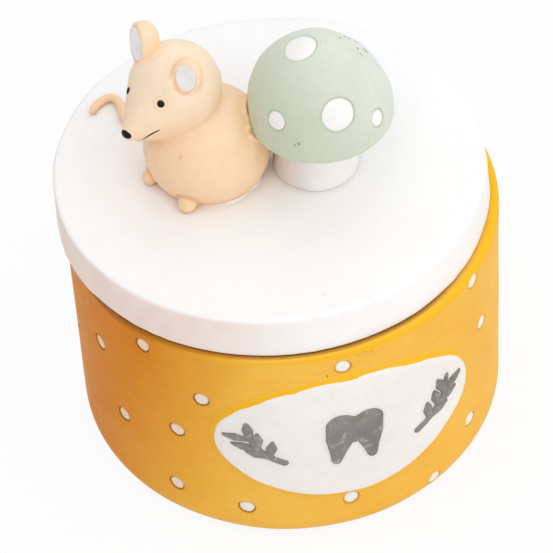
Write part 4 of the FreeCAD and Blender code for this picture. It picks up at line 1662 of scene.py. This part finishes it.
    def tail(self) -> Skin:
        """Tapered tail that comes down from the rump and lies curled on the lid."""
        route = self.curve(np.array(self.tail_shares) * self.body_radius, self.tail_rows)
        shares = np.linspace(0, 1, self.tail_rows)
        radius = self.tail_radii[0] + (self.tail_radii[1] - self.tail_radii[0]) * shares
        radius = radius + self.tail_root * (1 - ease(shares, 0.0, self.tail_root_share))
        tip = np.clip((1 - shares) / self.tail_tip_share, 0, 1)
        radius = radius * np.sqrt(tip * (2 - tip))
        route = route + np.array([0, 0, 1]) * (self.tail_radii[0] * self.tail_rest_share)
        along = unit(np.gradient(route, axis=0))
        level = unit(np.cross([0, 0, 1.0], along))
        rise = np.cross(along, level)
        angles = full_turn(self.tail_sides)[None, :, None]
        way = level[:, None] * np.cos(angles) + rise[:, None] * np.sin(angles)
        rings = route[:, None] + radius[:, None, None] * way
        return Skin.plain(rings.reshape(-1, 3), loop_faces(self.tail_rows, self.tail_sides))

    def build(self) -> Iterator[Piece]:
        """Make the sculpted mouse, then what is painted on it, then its tail."""
        stands_for = ("mouse_body", "mouse_head", "left_ear", "right_ear", "left_foot", "right_foot")
        yield Piece("mouse_sculpt", self.seated(self.sculpt()), Rider.LID, PEACH, stands_for)
        for side, word in ((Side.LEFT, "left"), (Side.RIGHT, "right")):
            lining = self.seated(self.lining(side))
            yield Piece(f"{word}_ear_lining", lining, Rider.LID, EAR_WHITE, (f"{word}_inner_ear",))
            bead = self.seated(self.eye(side, EYE_BEAD))
            yield Piece(f"{word}_eye_bead", bead, Rider.LID, BLACK, (f"{word}_eye",))
            yield Piece(f"{word}_eye_rim", self.seated(self.eye(side, EYE_RIM)), Rider.LID, PEACH)
        yield Piece("nose_patch", self.seated(self.nose_patch()), Rider.LID, BLACK, ("nose",))
        yield Piece("mouth_line", self.seated(self.mouth_line()), Rider.LID, MOUTH_BROWN)
        yield Piece("tail_sweep", self.seated(self.tail()), Rider.LID, PEACH, ("tail",))
        yield Piece("seat_bead", self.seated(self.seat_bead()), Rider.LID, LID_WHITE)


# Studio


def seen_rays(tree: bpy.types.NodeTree) -> Socket:
    """Value that is one for rays which reach the eye straight, off a gloss or through glass.

    Args:
        tree: Node tree that gets the nodes.

    Returns:
        The socket with the value.
    """
    rays = tree.nodes.new("ShaderNodeLightPath").outputs
    seen = rays["Is Camera Ray"]
    for name in ("Is Glossy Ray", "Is Transmission Ray"):
        node = tree.nodes.new("ShaderNodeMath")
        node.operation = "MAXIMUM"
        tree.links.new(seen, node.inputs[0])
        tree.links.new(rays[name], node.inputs[1])
        seen = node.outputs[0]
    return seen


@dataclass(frozen=True)
class SoftLamp:
    """Large soft lamp that faces the box."""

    name: str
    place: Triple
    size: float
    power: float

    def light(self, target: Vector) -> None:
        """Put the lamp in the scene, turned to a point."""
        data = bpy.data.lights.new(self.name, "AREA")
        data.shape = "DISK"
        data.size = self.size
        data.energy = self.power
        lamp = bpy.data.objects.new(self.name, data)
        lamp.location = self.place
        lamp.rotation_euler = (target - lamp.location).to_track_quat("-Z", "Y").to_euler()
        bpy.context.scene.collection.objects.link(lamp)


@dataclass
class Studio:
    """Pale floor, soft lamps, white surroundings and the camera. Lengths here are metres."""

    lamps: tuple[SoftLamp, ...] = (
        SoftLamp("key_right", (0.55, -0.42, 0.42), 1.2, 2.2),
        SoftLamp("front", (-0.12, -0.45, 0.55), 0.8, 1.15),
        SoftLamp("top", (-0.1, 0.0, 0.7), 1.0, 1.05),
        SoftLamp("back_right", (0.3, 0.42, 0.5), 0.9, 0.85),
    )
    target: Triple = (0.0, 0.0, 0.04)
    sky: float = 0.54
    floor_side: float = 6.0
    floor_colour: Colour = (245, 244, 243)
    floor_glow: float = 0.92
    camera_place: Triple = (-0.0977, -0.3601, 0.4235)
    camera_right: Triple = (0.9525, -0.3017, -0.0427)
    camera_up: Triple = (0.2485, 0.6881, 0.6818)
    lens: float = 232.3
    sensor: float = 36.0
    clip_start: float = 0.01

    def floor(self) -> None:
        """Floor that looks white to the eye and keeps the shadow of the box."""
        half = self.floor_side / 2
        corners = [(-half, -half, 0), (half, -half, 0), (half, half, 0), (-half, half, 0)]
        mesh = bpy.data.meshes.new("floor")
        mesh.from_pydata(corners, [], [(0, 1, 2, 3)])
        sheet = ShaderSheet("floor_white")
        sheet.feed(sheet.surface, {
            "Base Color": linear(self.floor_colour), "Roughness": 0.9, "Specular IOR Level": 0.1,
        })
        glow = sheet.add("ShaderNodeEmission", {"Color": (1, 1, 1, 1), "Strength": 1.0})
        share = sheet.product(seen_rays(sheet.tree), self.floor_glow)
        mix = sheet.add("ShaderNodeMixShader", {0: share, 1: sheet.surface.outputs[0], 2: glow.outputs[0]})
        sheet.feed(sheet.tree.nodes["Material Output"], {"Surface": mix.outputs[0]})
        mesh.materials.append(sheet.material)
        made = bpy.data.objects.new("floor", mesh)
        bpy.context.scene.collection.objects.link(made)

    def surroundings(self) -> None:
        """World that is white to the eye and lights the box softly from all sides."""
        world = bpy.data.worlds.new("surroundings")
        world.use_nodes = True
        tree = world.node_tree
        back = tree.nodes["Background"]
        back.inputs["Color"].default_value = (1, 1, 1, 1)
        strength = tree.nodes.new("ShaderNodeMapRange")
        tree.links.new(seen_rays(tree), strength.inputs[0])
        strength.inputs[3].default_value = self.sky
        strength.inputs[4].default_value = 1.0
        tree.links.new(strength.outputs[0], back.inputs["Strength"])
        bpy.context.scene.world = world

    def camera(self) -> None:
        """Camera at the photograph's viewing angle."""
        data = bpy.data.cameras.new("camera")
        data.lens = self.lens
        data.sensor_width = self.sensor
        data.clip_start = self.clip_start
        right, up = Vector(self.camera_right).normalized(), Vector(self.camera_up)
        back = right.cross(up).normalized()
        up = back.cross(right)
        made = bpy.data.objects.new("camera", data)
        turn = Matrix((right, up, back)).transposed().to_4x4()
        made.matrix_world = Matrix.Translation(self.camera_place) @ turn
        bpy.context.scene.collection.objects.link(made)
        bpy.context.scene.camera = made

    def set_up(self) -> None:
        """Put the whole studio in the scene."""
        self.floor()
        self.surroundings()
        for lamp in self.lamps:
            lamp.light(Vector(self.target))
        self.camera()
        bpy.context.scene.view_settings.view_transform = "Standard"


def main() -> None:
    """Build and dress each sub-assembly, then the studio round it."""
    logging.basicConfig(level=logging.INFO, format="%(name)s %(message)s")
    pot = Pot()
    mushroom = Mushroom()
    for assembly in (pot, Medallion(pot), Lid(), mushroom, Mouse(mushroom)):
        assembly.dress()
    Studio().set_up()


if __name__ == "__main__":
    main()
